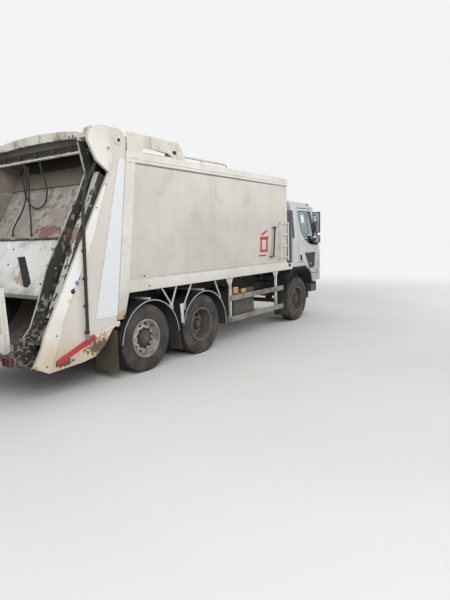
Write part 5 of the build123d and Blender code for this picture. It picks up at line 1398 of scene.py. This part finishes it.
def make_finishes(layout: Layout) -> dict[str, Material]:
    """Every finish by name."""
    tag_x = layout.tag_x
    body_foot = Patch((tag_x - 0.42, -1.25, 0.95), (0.20, 0.12, 0.10), tone(182, 150, 110), 0.8, 1.9, 16)
    body_rust = Patch((tag_x - 0.42, -1.25, 0.92), (0.10, 0.1, 0.05), OLD_RUST, 0.9, 1.6, 20)
    wall_rust = Patch((tag_x - 1.05, 1.01, 1.95), (0.42, 0.08, 0.16), tone(142, 84, 52), 0.85, 1.6, 6)
    recess_rust = Patch((tag_x - 1.17, -1.08, 2.10), (0.10, 0.16, 0.13), tone(108, 86, 72), 0.7, 2.2, 18)
    foot_tan = Patch((tag_x - 0.95, -1.25, 0.62), (0.30, 0.1, 0.14), tone(184, 152, 110), 0.85, 2.2, 15)
    foot_chips = Patch((tag_x - 0.92, -1.25, 0.58), (0.26, 0.1, 0.10), tone(64, 50, 40), 0.85, 2.6, 22)
    foot_rust = Patch((tag_x - 1.54, -1.25, 0.50), (0.14, 0.1, 0.07), OLD_RUST, 0.9, 1.9, 18)
    # Painted shade on the wall under the cover plate, darkest near its top
    wall_shade = Patch((tag_x - 0.53, 0, 3.05), (0.30, 2.8, 0.36), tone(104, 97, 85), 0.92, 0.3, 6)
    wall_top_shade = Patch((tag_x - 0.42, 0, 3.27), (0.26, 2.8, 0.22), tone(46, 44, 41), 0.9, 0.5, 6)
    plate_rust = Patch((tag_x - 1.03, -0.37, 2.17), (0.18, 0.32, 0.085), tone(128, 84, 64), 0.85, 2.0, 13)
    # Painted shade with grime: two dark lines at the overhanging top rail
    rail_shade_and_grime = Patch((0.1, 0, 3.118), (3.0, 3.0, 0.014), tone(84, 76, 62), 0.62, 1.1, 9)
    rail_line_shade_and_grime = Patch((0.1, 0, 3.176), (3.0, 3.0, 0.007), tone(116, 106, 88), 0.6, 1.1, 9)
    # A darker line along the crease where the sill meets the panel
    sill_crease_line = Patch((0.1, 0, 1.447), (3.0, 3.0, 0.018), tone(128, 120, 106), 0.4, 0.9, 5)
    apron_dirt = Patch((tag_x - 0.86, 0, 3.32), (0.2, 2.4, 0.10), tone(88, 83, 74), 0.92, 0.6, 9)
    beam_dirt = Patch((tag_x - 0.95, 0.1, 3.372), (0.05, 1.3, 0.028), tone(96, 88, 76), 0.7, 1.3, 12)
    lining_rust = Patch((tag_x - 1.62, 1.01, 1.42), (0.26, 0.08, 0.12), tone(150, 96, 62), 0.7, 1.5, 8)
    blade_stain = Patch((tag_x - 1.33, -0.15, 1.52), (0.12, 0.16, 0.12), tone(166, 138, 112), 0.8, 1.8, 13)
    finishes = [
        # Body paint: its panel colour is painted shade on the recessed side panel
        WeatheredPaint("body_paint", tone(222, 220, 211), tone(212, 208, 198), tone(136, 126, 108),
                       grime_share=0.22, streaks=0.2, foot=(0.9, 1.42), foot_share=0.5, rust=0.22,
                       roughness=0.38, patches=(body_foot, body_rust, rail_shade_and_grime, rail_line_shade_and_grime, sill_crease_line),
                       panel=tone(207, 202, 192)),
        WeatheredPaint("top_paint", tone(222, 217, 203), tone(204, 197, 181), tone(120, 112, 96),
                       grime_share=0.4, streaks=0.5, foot=(0.2, 0.4), foot_share=0.2, rust=0.35, chips=0.7,
                       roughness=0.5),
        TailgateSkin("tailgate_paint", tag_x - GUIDE_BEHIND,
                     (wall_rust, lining_rust, recess_rust, foot_tan, foot_chips, foot_rust)),
        WeatheredPaint("beam_paint", tone(226, 222, 209), tone(190, 184, 168), tone(70, 64, 56),
                       grime_share=0.75, streaks=0.5, foot=(0.2, 0.4), foot_share=0.2, rust=0.9, chips=1.0,
                       roughness=0.62, patches=(wall_shade, wall_top_shade, apron_dirt, beam_dirt)),
        # The blade's own white, raised a little as painted light, since the blade stands in shade in the
        # hopper
        WeatheredPaint("blade_paint", tone(238, 237, 234), tone(222, 219, 212), tone(96, 90, 80),
                       grime_share=0.5, foot=(1.2, 1.5), rust=0.5, chips=1.0, roughness=0.5,
                       patches=(blade_stain,)),
        WeatheredPaint("bracket_paint", tone(226, 225, 219), tone(206, 202, 191), tone(88, 80, 70),
                       grime_share=0.5, streaks=0.4, foot=(0.35, 1.0), foot_share=0.5, rust=0.5, chips=0.9,
                       roughness=0.48),
        WeatheredPaint("cab_paint", tone(199, 200, 201), tone(186, 187, 188), tone(128, 122, 112),
                       grime_share=0.15, streaks=0.2, foot=(0.9, 1.5), foot_share=0.45, rust=0.12, chips=0.3,
                       roughness=0.32),
        WeatheredPaint("lift_paint", tone(178, 30, 36), tone(150, 28, 34), tone(60, 44, 38),
                       grime_share=0.6, streaks=0.4, foot=(0.3, 0.7), foot_share=0.5, rust=0.8, chips=1.0,
                       roughness=0.55),
        WornSteel("hopper_lining", tone(92, 91, 88), tone(124, 119, 110), rust=0.45, metallic=0.05,
                  roughness=0.62),
        WornSteel("carriage_steel", tone(150, 146, 136), tone(180, 177, 168), rust=0.35, metallic=0.1,
                  grime=tone(84, 79, 70), grime_share=0.6, patches=(plate_rust,)),
        WornSteel("frame_paint", tone(48, 50, 53), tone(64, 65, 66), metallic=0.15, roughness=0.66,
                  grime=ROAD_DIRT, grime_share=0.55),
        WornSteel("axle_iron", tone(58, 55, 50), tone(82, 76, 66), rust=0.7, metallic=0.2, roughness=0.72,
                  grime=ROAD_DIRT, grime_share=0.6),
        WornSteel("guard_steel", tone(148, 143, 130), tone(120, 116, 106), rust=0.4, metallic=0.15,
                  roughness=0.68, grime=ROAD_DIRT, grime_share=0.6, stretch=(0.6, 1, 1)),
        WornSteel("bright_metal", tone(170, 169, 165), tone(140, 139, 134), rust=0.15, metallic=0.8,
                  roughness=0.35),
        WornSteel("chromed_bar", tone(190, 191, 192), tone(170, 171, 172), rust=0.08, metallic=0.95,
                  roughness=0.18, grime_share=0.25),
        WornSteel("wheel_nuts", tone(46, 43, 40), tone(66, 61, 56), metallic=0.2, roughness=0.62),
        WheelMetal("tag_wheel_metal", tag_x, layout.axle_z, tone(200, 194, 192), tone(176, 166, 162),
                   hub_radius=0.158),
        WheelMetal("drive_wheel_metal", layout.drive_x, layout.axle_z, tone(122, 122, 117), tone(98, 96, 91)),
        WheelMetal("front_wheel_metal", layout.front_x, layout.axle_z, tone(108, 99, 100), tone(86, 77, 77),
                   metallic=0.1),
        OldRubber("tyre_rubber"),
        OldRubber("hose_rubber", tone(30, 30, 31), tone(76, 71, 64), 0.35),
        Moulding("black_moulding", tone(40, 42, 45), tone(66, 68, 71)),
        Moulding("mudguard_moulding", tone(34, 36, 40), tone(58, 61, 66), 0.45, 0.16),
        Moulding("flap_rubber", tone(66, 57, 48), tone(90, 79, 67), 0.75, 0.15),
        Moulding("white_edge", tone(216, 217, 214), tone(190, 190, 186), 0.5, 0.3),
        Moulding("grey_duct", tone(25, 26, 36), tone(40, 42, 52), 0.5, 0.25),
        Moulding("lamp_orange", tone(226, 122, 62), tone(214, 138, 88), 0.3, 0.3),
        Moulding("lamp_tan", tone(186, 142, 98), tone(204, 170, 128), 0.4, 0.4),
        Moulding("mark_red", tone(176, 22, 42), tone(188, 46, 58), 0.4, 0.12),
        Moulding("disc_blue", tone(62, 134, 184), tone(92, 152, 190), 0.4, 0.2),
        Moulding("sign_yellow", tone(222, 206, 108), tone(212, 200, 130), 0.4, 0.2),
        Moulding("plate_white", tone(224, 224, 216), tone(208, 208, 200), 0.4, 0.25),
        # Black for real black parts, and painted shade in the holes and the blade's slot
        Moulding("black_and_hole_shade", tone(16, 15, 14), tone(26, 25, 24), 0.7, 0.15),
        Moulding("knob_green", tone(46, 104, 84), tone(60, 112, 92), 0.5, 0.3),
        Pane("window_glass", tone(196, 206, 208)),
        Pane("lamp_glass", tone(236, 238, 238), 0.8),
        Pane("red_lens", tone(92, 15, 16), 0.6, 0.1, 0.35),
        WornSteel("mirror_glass", tone(206, 211, 215), tone(196, 201, 206), rust=0.0, metallic=1.0,
                  roughness=0.05, grime_share=0.12),
        SeatCloth("seat_cloth"),
    ]
    return {finish.name: finish.make() for finish in finishes}


# CAD node, or the start of its name, and the finish it gets
NODE_FINISHES = {
    "body_sides": "body_paint", "body_roof": "top_paint", "body_floor": "frame_paint",
    "body_front_wall": "body_paint", "cylinder_covers": "top_paint", "ladder": "bracket_paint",
    "tailgate_sides": "tailgate_paint", "tailgate_top": "beam_paint", "hopper_floor": "hopper_lining",
    "packer_barrels": "frame_paint", "packer_rods": "chromed_bar", "carriage": "carriage_steel",
    "packer_blade": "blade_paint", "bin_lift_frame": "bracket_paint", "bin_lift_comb": "lift_paint",
    "tail_lamps": "red_lens", "tailgate_pipes": "hose_rubber", "lift_barrels": "bracket_paint",
    "feed_hoses": "hose_rubber", "rear_flaps": "flap_rubber",
    "lift_rods": "chromed_bar", "chassis_frame": "frame_paint", "engine": "axle_iron",
    "front_axle": "axle_iron", "drive_axle": "axle_iron", "tag_axle": "axle_iron",
    "leaf_springs": "axle_iron", "knuckle": "axle_iron", "fuel_tank": "bright_metal",
    "battery_box": "black_moulding", "side_guards": "guard_steel", "guard_struts": "bracket_paint",
    "rear_mudguards": "mudguard_moulding", "front_mudguards": "mudguard_moulding",
    "front_bumper": "black_moulding", "headlamps": "lamp_glass", "air_intake": "grey_duct",
    "cab_shell": "cab_paint", "windscreen": "window_glass", "dashboard": "black_moulding",
    "seats": "seat_cloth", "door_glass": "window_glass", "door_right": "cab_paint",
    "door_left": "cab_paint", "mirror": "black_moulding", "front_rim": "front_wheel_metal",
    "drive_rims": "drive_wheel_metal", "tag_rim": "tag_wheel_metal", "front_tyre": "tyre_rubber",
    "drive_tyres": "tyre_rubber", "tag_tyre": "tyre_rubber",
}


def dress_nodes(shop: Workshop) -> None:
    """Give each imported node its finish, chosen by the longest name that fits."""
    for name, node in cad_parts.items():
        fitting = [key for key in NODE_FINISHES if name.startswith(key)]
        finish = NODE_FINISHES[max(fitting, key=len)]
        for slot in node.material_slots:
            slot.material = shop.finishes[finish]
        log.info("%s is finished in %s", name, finish)


def main() -> None:
    """Build the truck's looks in order."""
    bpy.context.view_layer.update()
    layout = Layout.measure()
    shop = Workshop(make_finishes(layout))
    dress_nodes(shop)
    for group in (Tyres, WheelFittings, TailgateFittings, HopperFittings, BodyFittings, GuardFittings,
                  CabFittings, ChassisFittings):
        group(shop, layout).build()
    Studio(layout).build()


if __name__ == "__main__":
    main()
